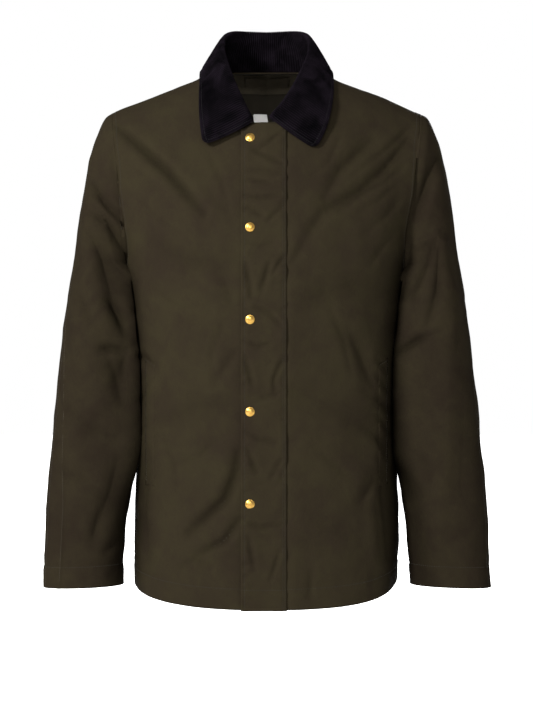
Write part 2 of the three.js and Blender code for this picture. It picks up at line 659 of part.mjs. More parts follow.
function addInsideBack(back) {
  const neckZ = (x) => neckline(-THREE.MathUtils.radToDeg(necklineAt(Math.abs(x)))).z;
  const facingColumns = columnsBetween(-FACING_HALF_WIDTH, FACING_HALF_WIDTH, 12);
  const facing = grid(facingColumns, 4, () => FACING_BOTTOM_Z, (x) => neckZ(x) - EDGE_INSET);
  addInside("back_neck_facing", back, facing, FACING_CLOTH, 0, OLIVE);
  const loopColumns = columnsBetween(-LOOP_HALF_LENGTH, LOOP_HALF_LENGTH, 6);
  const loop = grid(loopColumns, 2, () => LOOP_TOP_Z - LOOP_WIDTH, () => LOOP_TOP_Z);
  addInside("hanger_loop", back, loop, LOOP_CLOTH, 1, OLIVE);
  const slant = (row) => (LABEL_SLANT * (LABEL_TOP_Z - row[0][1])) / LABEL_LENGTH;
  const columns = columnsBetween(LABEL_MIDDLE_X - LABEL_WIDTH / 2, LABEL_MIDDLE_X + LABEL_WIDTH / 2, 2);
  const upright = grid(columns, 3, () => LABEL_TOP_Z - LABEL_LENGTH, () => LABEL_TOP_Z);
  const label = upright.map((row) => row.map(([x, z]) => [x + slant(row), z]));
  addInside("neck_label", back, label, LABEL_CLOTH, 0, WHITE);
}

const sheets = bodyAndSleeves();
for (const [name, made] of Object.entries(sheets)) addPiece(name, wall(made, 0, CLOTH), OLIVE);
const flap = flapOn(sheets.front_right);
addPiece("storm_flap", wall(flap, FLAP_LIFT, -LAYER_GAP), OLIVE);
for (let number = 1; number <= SNAP_COUNT; number += 1) addSnap(number, flap);
addCollar();
addWelt("pocket_welt_right", -1, sheets.front_right);
addWelt("pocket_welt_left", 1, sheets.front_left);
addInsideBack(sheets.back);

export default jacket;
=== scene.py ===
"""A waxed cotton field jacket with a corduroy collar, filled out as if worn, with no wearer in it."""

import math

import bpy
import numpy as np
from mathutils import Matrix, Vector


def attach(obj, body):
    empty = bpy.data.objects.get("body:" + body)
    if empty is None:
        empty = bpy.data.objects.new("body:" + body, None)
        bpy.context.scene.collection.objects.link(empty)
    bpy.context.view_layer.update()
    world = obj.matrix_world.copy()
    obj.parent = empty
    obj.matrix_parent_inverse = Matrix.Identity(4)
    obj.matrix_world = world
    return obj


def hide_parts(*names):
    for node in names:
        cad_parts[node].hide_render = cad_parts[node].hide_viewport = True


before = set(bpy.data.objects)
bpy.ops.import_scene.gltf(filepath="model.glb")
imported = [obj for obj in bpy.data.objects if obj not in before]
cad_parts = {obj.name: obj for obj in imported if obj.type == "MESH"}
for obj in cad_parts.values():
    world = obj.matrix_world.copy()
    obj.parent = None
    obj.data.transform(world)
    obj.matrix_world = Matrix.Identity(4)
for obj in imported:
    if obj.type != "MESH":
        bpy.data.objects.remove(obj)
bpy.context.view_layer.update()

MM = 0.001
AXIS_Y = 5.0
ARMPIT_Z = -290.0
POWER = 2.5
NECK_HALF_WIDTH = 78.0
NECK_FRONT_Z = -80.0
NECK_BACK_Z = 14.0
SHOULDER_TIP_X = 214.0
SHOULDER_SLOPE = 0.41
SHOULDER_TOP_Z = 2.4
NECK_RISE = 35.0
NECK_RISE_REACH = 110.0
HEM_SIDE_Z = -699.0
HEM_FRONT_DROP = 32.0
HEM_BACK_DROP = 15.0
FLAP_EDGE_X = -34.0
FLAP_SEAM_X = 27.0
FLAP_LIFT = 2.4
FLAP_BLEND_X = 60.0
UNDERLAP_X = 26.0
SNAP_X = -22.0
SNAP_TOP_Z = -98.0
SNAP_PITCH = 123.0
SNAP_COUNT = 5
SLEEVE_POWER = 2.3
SLEEVE_CLEARANCE = 3.0
ARMHOLE_SHAPE_STEPS = 6.0
CLOTH = 1.6

ROWS_LOW = 118
ROWS_HIGH = 84
NECK_ROW = 54
ACROSS = 76
ALONG_SLEEVE = 176
FINE = 240

TORSO = np.array([
    # z, half width, front, back
    (-735, 181, 146, 128), (-690, 184, 144, 127), (-640, 185, 142, 125), (-560, 182, 139, 121),
    (-480, 181, 138, 118), (-400, 182, 139, 118), (-340, 187, 141, 122), (-290, 192, 142, 126),
    (-230, 205, 140, 127), (-170, 218, 132, 126), (-100, 232, 117, 122), (-50, 240, 105, 119),
    (15, 245, 95, 116),
], float)
ARMHOLE = np.array([(-290, 192), (-270, 190.5), (-230, 192), (-170, 198), (-100, 207), (-55, 214)], float)
SLEEVE = np.array([
    # step, outer x, outer z, inner x, inner z, middle y, half depth, seam turn
    (0, 214, -53.6, 192, -290, 5, 62, 0), (1, 225, -61, 194, -296, 5, 65, 3),
    (2, 236, -84, 196, -303, 4, 67, 7), (3, 244, -107, 197, -309, 3, 69, 11),
    (4, 250, -135, 197, -315, 2, 70, 15), (5, 255.5, -168, 196, -322, 0, 71, 18),
    (6, 261, -205, 194, -331, -3, 72, 21), (7, 266.5, -250, 190, -343, -6, 72, 23),
    (8, 273.8, -297, 186, -359, -9, 71, 24), (9, 280.5, -345, 184, -383, -12, 69, 25),
    (10, 286.2, -395, 183, -415, -15, 67, 25), (11, 290.5, -440, 183, -450, -18, 64, 25),
    (12, 295, -490, 184, -492, -21, 61, 25), (13, 299.5, -540, 185, -536, -24, 58, 25),
    (14, 303.2, -590, 188, -582, -27, 54, 25), (15, 306.2, -640, 193, -630, -30, 50, 25),
    (16, 308.5, -680, 197, -674, -32, 46, 25), (17, 309, -711, 197, -707, -34, 43, 25),
], float)
COLLAR_RIGHT = np.array([
    # at, seam, fold x y z, edge x y z, round
    (0, -90, 0, 84, 72, 0, 106, -8, 4), (0.2, -62, 30, 77, 71.5, 46, 98, -6, 4),
    (0.38, -28, 49, 54, 67.5, 79, 70, 0, 3.5), (0.52, 4, 59, 18, 56, 90, 26, 5, 3.5),
    (0.64, 26, 61, -20, 36, 92, -12, -2, 4), (0.75, 44, 56, -50, 12, 92, -48, -22, 4),
    (0.85, 60, 46, -74, -20, 92, -74, -50, 4), (0.93, 72, 34, -90, -52, 90, -90, -80, 3.5),
    (1, 74, 20, -100, -77, 86, -102, -108, 3),
], float)
COLLAR_LEFT = np.array([
    *COLLAR_RIGHT[:4],
    (0.64, 26, 60, -20, 35, 92, -12, -2, 4), (0.75, 44, 52, -50, 8, 92, -46, -23, 4),
    (0.85, 60, 40, -74, -22, 89, -76, -53, 4), (0.93, 72, 25, -90, -47, 81, -92, -85, 3.5),
    (1, 83, 5, -99, -71, 67, -104, -114, 3),
], float)

# half width, depth, and the line that each fold follows (x, z); a ridge's depth is negative
FRONT_FOLDS = [
    (8, 6.8, (-202, -80), (-133, -144), (-84, -201)), (9, 1.5, (-77, -171), (-45, -212)),
    (7, 2.5, (-41, -386), (-61, -415), (-67, -427)),
    (8, 6.5, (-38, -522), (-41, -548), (-55, -584), (-105, -630)),
    (6, 5, (-36, -611), (-55, -638), (-90, -657)), (6, 2.2, (-117, -677), (-95, -664), (-77, -674)),
    (10, 2, (-61, -282), (-45, -329)), (6, 2.2, (-168, -391), (-153, -408)),
    (22, 2.2, (-156, -238), (-102, -267), (-46, -267)), (22, 1.8, (-142, -485), (-89, -458), (-41, -462)),
    (11, 2.6, (-161, -521), (-168, -612), (-161, -685)), (10, 4, (142, -100), (101, -139), (78, -180)),
    (10, 5, (193, -97), (161, -139), (129, -167), (75, -199), (57, -227)), (7, 2, (51, -240), (31, -271)),
    (4.5, 1.8, (200, -76), (166, -109), (132, -137), (104, -160)),
    (4.5, 2, (187, -134), (162, -157), (132, -171), (98, -196)),
    (4, 1.3, (176, -160), (150, -184), (126, -196)), (5, 1.4, (186, -176), (158, -206), (132, -228)),
    (5, 1.5, (184, -214), (160, -240), (141, -268)), (4.5, 1.3, (100, -98), (84, -132), (62, -150)),
    (5, 1.3, (-190, -120), (-160, -156), (-132, -178)),
    (4.5, 1.2, (-176, -178), (-150, -206), (-118, -226)), (5, 1.3, (-80, -118), (-62, -150), (-50, -196)),
    (5, 1.2, (-160, -298), (-130, -322), (-96, -330)), (5, 1.3, (-58, -350), (-74, -388), (-70, -430)),
    (5, 1.4, (86, -330), (104, -372), (116, -420)), (5, 1.2, (60, -510), (92, -540), (118, -560)),
    (5, 1.4, (-60, -500), (-92, -528), (-128, -540)), (10, 3.4, (108, -359), (124, -384), (144, -434)),
    (8, 3, (148, -553), (130, -586)), (8, 3.2, (162, -505), (158, -585), (165, -668)),
    (6, 2, (148, -592), (154, -665)), (9, -2.2, (33, -611), (116, -643)), (5, 2, (59, -680), (58, -715)),
    (6, 1.8, (133, -442), (168, -465)), (6, 1.8, (133, -489), (166, -518)),
    (24, 2, (45, -441), (98, -471), (136, -494)), (20, 2, (51, -318), (112, -298), (168, -305)),
    (8, 5, (-239, -157), (-223, -183), (-198, -209)),
    (6, -3, (-239, -177), (-227, -186), (-210, -207), (-194, -217)),
    (8, 5, (-239, -198), (-217, -210), (-191, -254)), (8, 5.5, (-212, -318), (-200, -336), (-192, -356)),
    (7, 6, (-223, -382), (-206, -383), (-192, -385)), (10, 3, (-193, -393), (-194, -423)),
    (6, 2.5, (-199, -643), (-219, -658)), (8, 2.5, (-227, -602), (-236, -641)),
    (10, 2.4, (-262, -306), (-238, -346)), (13, 2.2, (-273, -464), (-240, -493), (-205, -502)),
    (12, 2, (-279, -548), (-243, -564), (-210, -596)),
    (10, 5.5, (238, -118), (221, -148), (206, -186), (189, -228)),
    (7, -4, (206, -240), (232, -228), (243, -235)), (8, 5, (225, -246), (197, -311)),
    (8, 4.5, (235, -248), (232, -304), (219, -350)), (7, 7, (214, -367), (198, -376), (183, -386)),
    (8, 2.4, (214, -367), (246, -357)),
    (19, -2.8, (250, -340), (248, -430), (245, -521), (233, -620), (225, -668)),
    (22, 1.2, (270, -420), (268, -520), (262, -600)),
    (13, 4, (-241, -226), (-222, -262), (-207, -320), (-194, -364)),
    (14, 4.5, (-216, -393), (-204, -420), (-196, -458)), (12, 3, (-202, -532), (-212, -575), (-236, -640)),
    (4, 2.2, (150, -398), (163, -414)), (4, 2.6, (151, -420), (166, -441)),
    (4, 2.4, (152, -448), (168, -470)), (4, 2.6, (153, -474), (169, -499)),
    (4, 2.4, (152, -505), (165, -531)), (4, 2, (150, -530), (160, -556)),
    (4.5, 2.4, (-176, -391), (-168, -397), (-160, -408)), (4, 1.2, (-160, -430), (-171, -452)),
    (4, 1.1, (-161, -474), (-170, -500)), (5, 1.6, (-140, -505), (-127, -540), (-122, -575)),
    (12, 2, (190, -507), (223, -548), (225, -589)), (9, 2, (277, -316), (258, -387)),
]
BACK_FOLDS = [
    (13, 5.5, (-184, -118), (-140, -170), (-88, -212)), (12, 5, (186, -112), (138, -158), (96, -206)),
    (10, 3, (-170, -178), (-128, -216), (-104, -262)), (11, 3.2, (172, -170), (134, -204), (118, -256)),
    (18, 4.5, (-132, -424), (-60, -446), (18, -452)), (15, 3.6, (138, -396), (92, -424), (34, -438)),
    (12, 2.6, (-120, -478), (-48, -498), (40, -492)), (16, 2.6, (-40, -300), (-8, -352), (-20, -402)),
    (12, 2.8, (160, -520), (150, -590), (158, -676)), (12, 2.8, (-154, -540), (-146, -610), (-156, -690)),
    (11, 2.6, (58, -560), (46, -630), (54, -700)), (11, 2.2, (-72, -590), (-64, -650), (-70, -706)),
    (8, 5, (-236, -168), (-218, -200), (-198, -236)), (8, 4.5, (238, -150), (222, -186), (200, -214)),
    (8, 5.5, (-186, -348), (-214, -356), (-246, -346)), (8, 5, (-188, -398), (-222, -404), (-258, -388)),
    (9, 5.5, (186, -352), (216, -350), (250, -362)), (8, 4.5, (190, -402), (224, -392), (262, -398)),
    (10, 2.6, (-206, -446), (-238, -478), (-276, -484)), (10, 2.4, (208, -470), (240, -462), (280, -440)),
    (9, 2.4, (-214, -590), (-246, -600), (-286, -586)), (9, 2.2, (216, -604), (252, -596), (288, -612)),
]
FOLD_FADE = 30.0
FLAP_FOLDS = [
    (3.6, 1.5, (-17, -115), (0, -124), (21, -134)), (3.4, 1.2, (-13, -117), (10, -100), (19, -93)),
    (3.2, 1.1, (-30, -144), (-6, -142), (18, -148)), (3.4, 1.2, (-30, -156), (4, -160)),
    (3.2, 1.2, (-30, -178), (-6, -182), (18, -178)), (3.4, 1.3, (-27, -195), (-6, -205)),
    (3.2, 1, (20, -196), (2, -212)), (4, 1.6, (-27, -270), (-20, -311)), (4, 1.4, (4, -270), (-6, -304)),
    (3.2, 1, (-30, -240), (-8, -246), (8, -242)), (3.2, 1, (22, -262), (8, -284)),
    (3.4, 1.2, (-14, -328), (4, -336), (20, -352)), (3.2, 1.1, (-30, -372), (-10, -380), (6, -376)),
    (4, 1.4, (-28, -394), (-18, -432)), (3.4, 1.2, (21, -398), (10, -424), (12, -446)),
    (3.2, 1, (-12, -452), (6, -446), (21, -440)), (3.4, 1.3, (-29, -492), (-10, -504), (14, -508)),
    (4, 1.5, (-26, -516), (-12, -548)), (3.4, 1.1, (20, -530), (6, -556)),
    (3.4, 1.2, (-28, -612), (-8, -622), (18, -618)), (4, 1.3, (-24, -634), (-16, -676)),
    (3.4, 1, (18, -652), (6, -690)),
]


def smooth(t):
    t = np.clip(t, 0, 1)
    return t * t * (3 - 2 * t)


def mix(a, b, t):
    return a + (b - a) * t


def along(table, column, at, by=0):
    """A column of a table between its rows, as a smooth curve through them."""
    at = np.asarray(at, float)
    xs, ys = table[:, by], table[:, column]
    last = len(xs) - 1
    slopes = np.empty_like(ys)
    for i in range(last + 1):
        a, b = max(0, i - 1), min(last, i + 1)
        slopes[i] = (ys[b] - ys[a]) / (xs[b] - xs[a])
    row = np.clip(np.searchsorted(xs, at, side="left") - 1, 0, last - 1)
    span = xs[row + 1] - xs[row]
    t = np.clip((at - xs[row]) / span, 0, 1)
    rise = 3 * t * t - 2 * t**3
    return (
        ys[row] + (ys[row + 1] - ys[row]) * rise
        + span * (t - 2 * t * t + t**3) * slopes[row]
        + span * (t**3 - t * t) * slopes[row + 1]
    )


def ridge(x):
    away = np.abs(x)
    rise = NECK_RISE * np.maximum(0, 1 - away / NECK_RISE_REACH) ** 2
    return SHOULDER_TOP_Z + rise - SHOULDER_SLOPE * (away - NECK_HALF_WIDTH)


def row_ridge(x, face):
    return ridge(np.maximum(np.abs(x), NECK_HALF_WIDTH) if face < 0 else x)


def one_less(share, power):
    return (1 - np.clip(share, 0, 1) ** power) ** (1 / power)


def torso_y(x, z, face):
    x, z = np.asarray(x, float), np.asarray(z, float)
    across = one_less(np.abs(x) / along(TORSO, 1, z), POWER)
    up = (z - ARMPIT_Z) / (ridge(x) - ARMPIT_Z)
    arch = np.where(z > ARMPIT_Z, one_less(up, POWER), 1)
    return AXIS_Y + face * along(TORSO, 2 if face < 0 else 3, z) * across * arch


def torso_x(y, z):
    depth = np.where(y < AXIS_Y, along(TORSO, 2, z), along(TORSO, 3, z))
    return along(TORSO, 1, z) * one_less(np.abs(y - AXIS_Y) / depth, POWER)


def hem_z(x, face):
    drop = HEM_FRONT_DROP if face < 0 else HEM_BACK_DROP
    return HEM_SIDE_Z - drop * one_less(np.abs(x) / along(TORSO, 1, HEM_SIDE_Z), POWER)


def neckline(degrees):
    face = -1 if degrees > 0 else 1
    turn = math.radians(degrees)
    x = NECK_HALF_WIDTH * math.cos(turn)
    side = float(ridge(NECK_HALF_WIDTH))
    end = NECK_FRONT_Z if face < 0 else NECK_BACK_Z
    z = mix(side, end, abs(math.sin(turn)) ** (1 if face < 0 else 2))
    y = AXIS_Y if degrees == 0 else float(torso_y(x, z, face))
    return np.array([x, y, z])


def neckline_at(x):
    return 90 - math.degrees(math.asin(x / NECK_HALF_WIDTH))


def arc(line):
    steps = np.linalg.norm(np.diff(line, axis=0), axis=1)
    return np.concatenate([[0], np.cumsum(steps)])


def at_lengths(line, goals):
    lengths = arc(line)
    return np.stack([np.interp(goals, lengths, line[:, i]) for i in range(line.shape[1])], 1)


def evenly(line, parts):
    return at_lengths(line, np.linspace(0, arc(line)[-1], parts + 1))


def armhole(face):
    tip_z = float(ridge(SHOULDER_TIP_X))
    turn = np.linspace(0, np.pi, FINE + 1)
    z = mix(ARMPIT_Z, tip_z, (1 - np.cos(turn)) / 2)
    x = along(ARMHOLE, 1, z)
    line = np.stack([x, torso_y(x, z, face), z], 1)
    line[0, 1] = AXIS_Y
    line[-1] = (SHOULDER_TIP_X, AXIS_Y, tip_z)
    return evenly(line, ROWS_HIGH)


def half_panel(face, near_x):
    """Half a front or back as rows of points from its centre edge to the side seam or armhole."""
    arm = armhole(face)
    neck_start = neckline_at(near_x) if face < 0 else -90
    neck_z = neckline(neck_start)[2]
    share = np.sin(np.linspace(0, np.pi / 2, FINE + 1))
    rows = []
    for row in range(ROWS_LOW):
        t = row / ROWS_LOW
        side_z = mix(HEM_SIDE_Z, ARMPIT_Z, t)
        x = mix(near_x, float(along(TORSO, 1, side_z)), share)
        hem = hem_z(x, face)
        hem[-1] = HEM_SIDE_Z
        z = mix(hem, ARMPIT_Z, t)
        y = torso_y(x, z, face)
        y[-1] = AXIS_Y
        rows.append(evenly(np.stack([x, y, z], 1), ACROSS))
    for row in range(ROWS_HIGH + 1):
        t = row / ROWS_HIGH
        if row <= NECK_ROW:
            rise = 1 - (1 - row / NECK_ROW) ** 1.3
            z0 = mix(ARMPIT_Z, neck_z, rise)
            start = np.array([near_x, float(torso_y(near_x, z0, face)), z0])
        else:
            start = neckline(mix(neck_start, 0, (row - NECK_ROW) / (ROWS_HIGH - NECK_ROW)))
        end = arm[row]
        x = mix(start[0], end[0], share)
        straight = mix(start[2], end[2], share)
        start_below = float(row_ridge(start[0], face)) - start[2]
        end_below = float(row_ridge(end[0], face)) - end[2]
        below = mix(start_below, end_below, share)
        z = mix(straight, row_ridge(x, face) - below, t)
        y = np.full_like(x, AXIS_Y) if row == ROWS_HIGH else torso_y(x, z, face)
        line = np.stack([x, y, z], 1)
        line[0], line[-1] = start, end
        rows.append(evenly(line, ACROSS))
    return np.array(rows)


def half_sleeve(face):
    """Half a sleeve as rows of points from its outer seam to its inner one."""
    arm = armhole(face)[::-1]
    head = SLEEVE[0]
    rows = [arm]
    for row in range(1, ALONG_SLEEVE + 1):
        step = (len(SLEEVE) - 1) * row / ALONG_SLEEVE
        at = [float(along(SLEEVE, i, step)) for i in range(8)]
        shaped = float(smooth(step / ARMHOLE_SHAPE_STEPS))
        outer = np.array([at[1], at[5], at[2]])
        inner = np.array([at[3], at[5], at[4]])
        centre, half = (outer + inner) / 2, (outer - inner) / 2
        turn = mix(math.radians(at[7]) * -face, np.pi, np.arange(ROWS_HIGH + 1) / ROWS_HIGH)
        out = np.sign(np.cos(turn)) * np.abs(np.cos(turn)) ** (2 / SLEEVE_POWER)
        deep = face * np.sign(np.sin(turn)) * np.abs(np.sin(turn)) ** (2 / SLEEVE_POWER)
        head_out = 2 * (arm[:, 2] - head[4]) / (head[2] - head[4]) - 1
        head_deep = (arm[:, 1] - AXIS_Y) / head[6]
        made = centre + np.outer(mix(head_out, out, shaped), half)
        made[:, 1] += mix(head_deep, deep, shaped) * at[6]
        corner = 0 * turn
        if face < 0:
            corner = 2.6 * np.minimum(0, np.cos(turn)) ** 2 * np.maximum(0, np.sin(turn))
        wrap = corner * smooth((-262 - made[:, 2]) / 25) * (1 - smooth((-515 - made[:, 2]) / 85))
        made[:, 0] -= 20 * wrap
        below = made[:, 2] < ARMPIT_Z
        limit = torso_x(made[:, 1], made[:, 2]) + SLEEVE_CLEARANCE
        made[:, 0] = np.where(below, np.maximum(made[:, 0], limit), made[:, 0])
        rows.append(made)
    return np.array(rows)


def noise(places, wavelength, seed):
    """Smooth noise from -1 to 1 whose features are a wavelength across."""
    grid = np.random.default_rng(seed).uniform(-1, 1, (32, 32, 32))
    q = places / wavelength + 100.0
    base = np.floor(q).astype(int)
    f = q - base
    f = f * f * (3 - 2 * f)
    total = 0
    for dx in (0, 1):
        for dy in (0, 1):
            for dz in (0, 1):
                w = (
                    (f[..., 0] if dx else 1 - f[..., 0])
                    * (f[..., 1] if dy else 1 - f[..., 1])
                    * (f[..., 2] if dz else 1 - f[..., 2])
                )
                x, y, z = (base[..., 0] + dx) % 32, (base[..., 1] + dy) % 32, (base[..., 2] + dz) % 32
                total = total + w * grid[x, y, z]
    return total


def fold_depth(p, front=FRONT_FOLDS, back=BACK_FOLDS):
    """How deep the folds are at each place."""
    depth = np.zeros(p.shape[:-1])
    middle_y = np.interp(p[..., 2], [-711, -500, -340, ARMPIT_Z], [-34, -22, -12, AXIS_Y])
    middle_y = np.where(np.abs(p[..., 0]) > along(TORSO, 1, p[..., 2]) + 1, middle_y, AXIS_Y)
    for sign, (width, deep, *line) in [(-1, fold) for fold in front] + [(1, fold) for fold in back]:
        side = smooth(sign * (p[..., 1] - middle_y) / FOLD_FADE)
        line = np.array(line, float)
        total = arc(line)[-1]
        near = np.full(p.shape[:-1], 1e9)
        where = np.zeros(p.shape[:-1])
        signed = np.zeros(p.shape[:-1])
        done = 0.0
        for a, b in zip(line[:-1], line[1:]):
            d = b - a
            length = np.hypot(*d)
            rx, rz = p[..., 0] - a[0], p[..., 2] - a[1]
            s = np.clip((rx * d[0] + rz * d[1]) / length**2, 0, 1)
            away = np.hypot(rx - s * d[0], rz - s * d[1])
            closer = away < near
            near = np.where(closer, away, near)
            where = np.where(closer, (done + s * length) / total, where)
            signed = np.where(closer, np.sign(rx * d[1] - rz * d[0]) * away, signed)
            done += length
        taper = 0.4 + 0.6 * np.sin(np.pi * np.clip(where, 0.03, 0.97)) ** 0.7
        sharp = 0.5 if deep > 0 else 0.1
        trough = (1 - sharp) * np.exp(-((near / width) ** 2)) + sharp * np.exp(-near / (0.4 * width))
        lip = 0.2 * np.exp(-(((signed - 1.9 * width) / (1.2 * width)) ** 2))
        lip += 0.14 * np.exp(-(((signed + 1.9 * width) / (1.2 * width)) ** 2))
        depth += side * 1.25 * deep * taper * (trough - lip)
    return depth


def unit(v):
    return v / np.maximum(np.linalg.norm(v, axis=-1, keepdims=True), 1e-9)


def grid_normals(p, flip):
    du = np.gradient(p, axis=1)
    dv = np.gradient(p, axis=0)
    n = unit(np.cross(du, dv))
    return -n if flip else n


def keys(points):
    return [tuple(k) for k in np.round(points * 20).astype(int)]


def border(shape):
    mask = np.zeros(shape, bool)
    mask[0], mask[-1], mask[:, 0], mask[:, -1] = True, True, True, True
    return mask


def share_normals(sheets):
    sums = {}
    for sheet in sheets:
        mask = border(sheet["p"].shape[:2])
        sheet["mask"], sheet["keys"] = mask, keys(sheet["p"][mask])
        for k, n in zip(sheet["keys"], sheet["n"][mask]):
            sums[k] = sums.get(k, 0) + n
    for sheet in sheets:
        sheet["n"][sheet["mask"]] = unit(np.array([sums[k] for k in sheet["keys"]]))


def make_sheet(p, flip):
    return {"p": p, "n": grid_normals(p, flip), "flip": flip}


def mirrored(p):
    return p * np.array([-1.0, 1.0, 1.0])


def across_lengths(p):
    steps = np.linalg.norm(np.diff(p, axis=1), axis=2)
    return np.concatenate([np.zeros((p.shape[0], 1)), np.cumsum(steps, axis=1)], 1)


def along_lengths(p):
    steps = np.linalg.norm(np.diff(p, axis=0), axis=2)
    return np.concatenate([np.zeros((1, p.shape[1])), np.cumsum(steps, axis=0)], 0)


def edge_distance(p):
    """How far each point is from the four edges of its grid: first and last column, first and last row."""
    u, v = across_lengths(p), along_lengths(p)
    return u, u[:, -1:] - u, v, v[-1:] - v


def bump(distance, width):
    return np.exp(-((distance / width) ** 2))


def puckers(p, distance, reach, wavelength, seed):
    """Unevenness beside a seam, which dies away both at the seam and at a reach from it."""
    return (bump(distance, reach) - bump(distance, 3.0)) * noise(p, wavelength, seed)


def cloth_noise(p):
    """The slight unevenness that waxed cloth always has."""
    return (
        2.2 * noise(p, 120.0, 11) + 1.9 * noise(p, 52.0, 12)
        + 1.0 * noise(p, 25.0, 13) + 0.3 * noise(p, 11.0, 14)
    )


def armhole_fill(p):
    """The cloth bridges the hollow between the chest and the sleeve, but not on top of the shoulder."""
    return 6.0 * smooth((p[..., 2] + 240) / 90) * smooth((np.abs(p[..., 1] - AXIS_Y) - 12) / 35)


def armhole_groove(p):
    return 0.6 - 0.58 * smooth((p[..., 2] + 200) / 60)


def crumple(p):
    """Short slanting creases of a sleeve, more of them round the elbow."""
    side = np.sign(p[..., 0])
    slant = np.stack([
        0.9 * (side * p[..., 0] + p[..., 2]) / 1.414,
        0.34 * (side * p[..., 0] - p[..., 2]) / 1.414,
        0.5 * p[..., 1],
    ], -1)
    elbow = 0.45 + 0.55 * np.exp(-(((p[..., 2] + 370) / 120) ** 2))
    return elbow * (1.5 * noise(slant, 21.0, 71) + 0.6 * noise(slant, 9.5, 72))


def painted_shade(name, base, depth, left, right):
    """Painted shade: how much of the wax's colour is kept, less in creases, at the trunk's sides below the
    armholes, on the sleeves' inner sides and along the outer edge of the sleeves at positive x.
    """
    # painted shade in the creases: the deeper the fold, the darker
    tone = 1 - 0.05 * np.clip(depth, 0, 6.5)
    far = np.where(base[..., 0] > 0, 1.0, 0.0)
    below = smooth((-250 + 35 * far - base[..., 2]) / 60)
    if name.startswith("sleeve"):
        # painted shade on the sleeves' inner sides, which face the trunk below the armholes
        free = 1 - 0.6 * far * smooth((-545 - base[..., 2]) / 60)
        inner = 1 - smooth((right - 22 - 16 * far) / (50 - 14 * far))
        tone = tone * (1 - (0.5 + 0.38 * far) * below * free * inner)
        # painted shade along the outer seam of the sleeves at positive x
        tone = tone * (1 - 0.3 * far * bump(left, 12.0))
    else:
        # painted shade at the trunk's sides below the armholes, beside the sleeves
        reach = 24 + 14 * far
        side = smooth((np.abs(base[..., 0]) - along(TORSO, 1, base[..., 2]) + reach) / reach)
        tone = tone * (1 - (0.6 + 0.22 * far) * below * side)
    return tone


def pressed_line(z):
    """Where the pressed and stitched line down the wearer's right sleeve runs."""
    heights = (-711, -690, -600, -540, -460, -395, -340)
    return -np.interp(z, heights, (283, 282, 277, 278.5, 277, 277, 275.5))


def mesh_object(name, verts, faces, materials, uvs=None, sides=None):
    """A smooth mesh from sizes in millimetres. Sides say which material each face has."""
    mesh = bpy.data.meshes.new(name)
    faces = faces if isinstance(faces, list) else faces.tolist()
    mesh.from_pydata((np.asarray(verts) * MM).tolist(), [], faces)
    if uvs is not None:
        layer = mesh.uv_layers.new(name="cloth")
        index = np.empty(len(mesh.loops), int)
        mesh.loops.foreach_get("vertex_index", index)
        layer.data.foreach_set("uv", np.asarray(uvs)[index].astype(np.float32).ravel())
    for material in materials:
        mesh.materials.append(material)
    if sides is not None:
        mesh.polygons.foreach_set("material_index", sides)
    mesh.polygons.foreach_set("use_smooth", [True] * len(mesh.polygons))
    mesh.update()
    obj = bpy.data.objects.new(name, mesh)
    bpy.context.scene.collection.objects.link(obj)
    return obj


def grid_faces(rows, columns, flip):
    index = np.arange(rows * columns).reshape(rows, columns)
    quads = np.stack([index[:-1, :-1], index[:-1, 1:], index[1:, 1:], index[1:, :-1]], -1).reshape(-1, 4)
    return quads[:, ::-1] if flip else quads


def sheet_object(name, sheet, outside, inside, thickness=CLOTH):
    """A sheet given its thickness on the inside, with the cloth's other side in its own material."""
    p, n, flip = sheet["p"], sheet["n"], sheet["flip"]
    rows, columns = p.shape[:2]
    u, v = across_lengths(p), along_lengths(p)
    uv = np.stack([u, v], -1).reshape(-1, 2) * MM
    outer, inner = p.reshape(-1, 3), (p - n * thickness).reshape(-1, 3)
    faces = grid_faces(rows, columns, flip)
    count = rows * columns
    index = np.arange(count).reshape(rows, columns)
    ring = np.concatenate([index[0, :], index[1:, -1], index[-1, -2::-1], index[-2:0:-1, 0]])
    after = np.roll(ring, -1)
    rim = np.stack([after, ring, ring + count, after + count], 1)
    if flip:
        rim = rim[:, ::-1]
    every_face = np.concatenate([faces, faces[:, ::-1] + count, rim])
    sides = [0] * len(faces) + [1] * len(faces) + [0] * len(rim)
    obj = mesh_object(name, np.concatenate([outer, inner]), every_face, (outside, inside),
                      np.concatenate([uv, uv]), sides)
    # the painted shade of each point, kept as an attribute that darkens the wax's base colour
    tone = np.asarray(sheet.get("tone", np.ones((rows, columns)))).ravel()
    painted_shade_layer = obj.data.attributes.new("painted_shade", "FLOAT", "POINT")
    painted_shade_layer.data.foreach_set("value", np.concatenate([tone, tone]).astype(np.float32))
    obj.data.update()
    return obj


# Materials


def put(tree, target, values):
    """Sets or links a node's inputs: a socket is linked, and any other value is set."""
    for name, value in values.items():
        if isinstance(value, bpy.types.NodeSocket):
            tree.links.new(value, target.inputs[name])
        else:
            target.inputs[name].default_value = value
    return target


def add(tree, kind, values, **settings):
    made = tree.nodes.new("ShaderNode" + kind)
    for name, value in settings.items():
        setattr(made, name, value)
    return put(tree, made, values)


def new_material(name):
    material = bpy.data.materials.new(name)
    material.use_nodes = True
    tree = material.node_tree
    coords = add(tree, "TexCoord", {}).outputs
    return material, tree, tree.nodes["Principled BSDF"], coords["UV"], coords["Object"]


def ramp(tree, value, stops):
    made = add(tree, "ValToRGB", {"Fac": value})
    while len(made.color_ramp.elements) < len(stops):
        made.color_ramp.elements.new(0.5)
    for element, (at, colour) in zip(made.color_ramp.elements, stops):
        element.position = at
        element.color = (*colour, 1)
    return made.outputs["Color"]


def noise_node(tree, vector, scale, detail, rough, warp=0.0):
    values = {"Vector": vector, "Scale": scale, "Detail": detail, "Roughness": rough, "Distortion": warp}
    return add(tree, "TexNoise", values).outputs["Fac"]


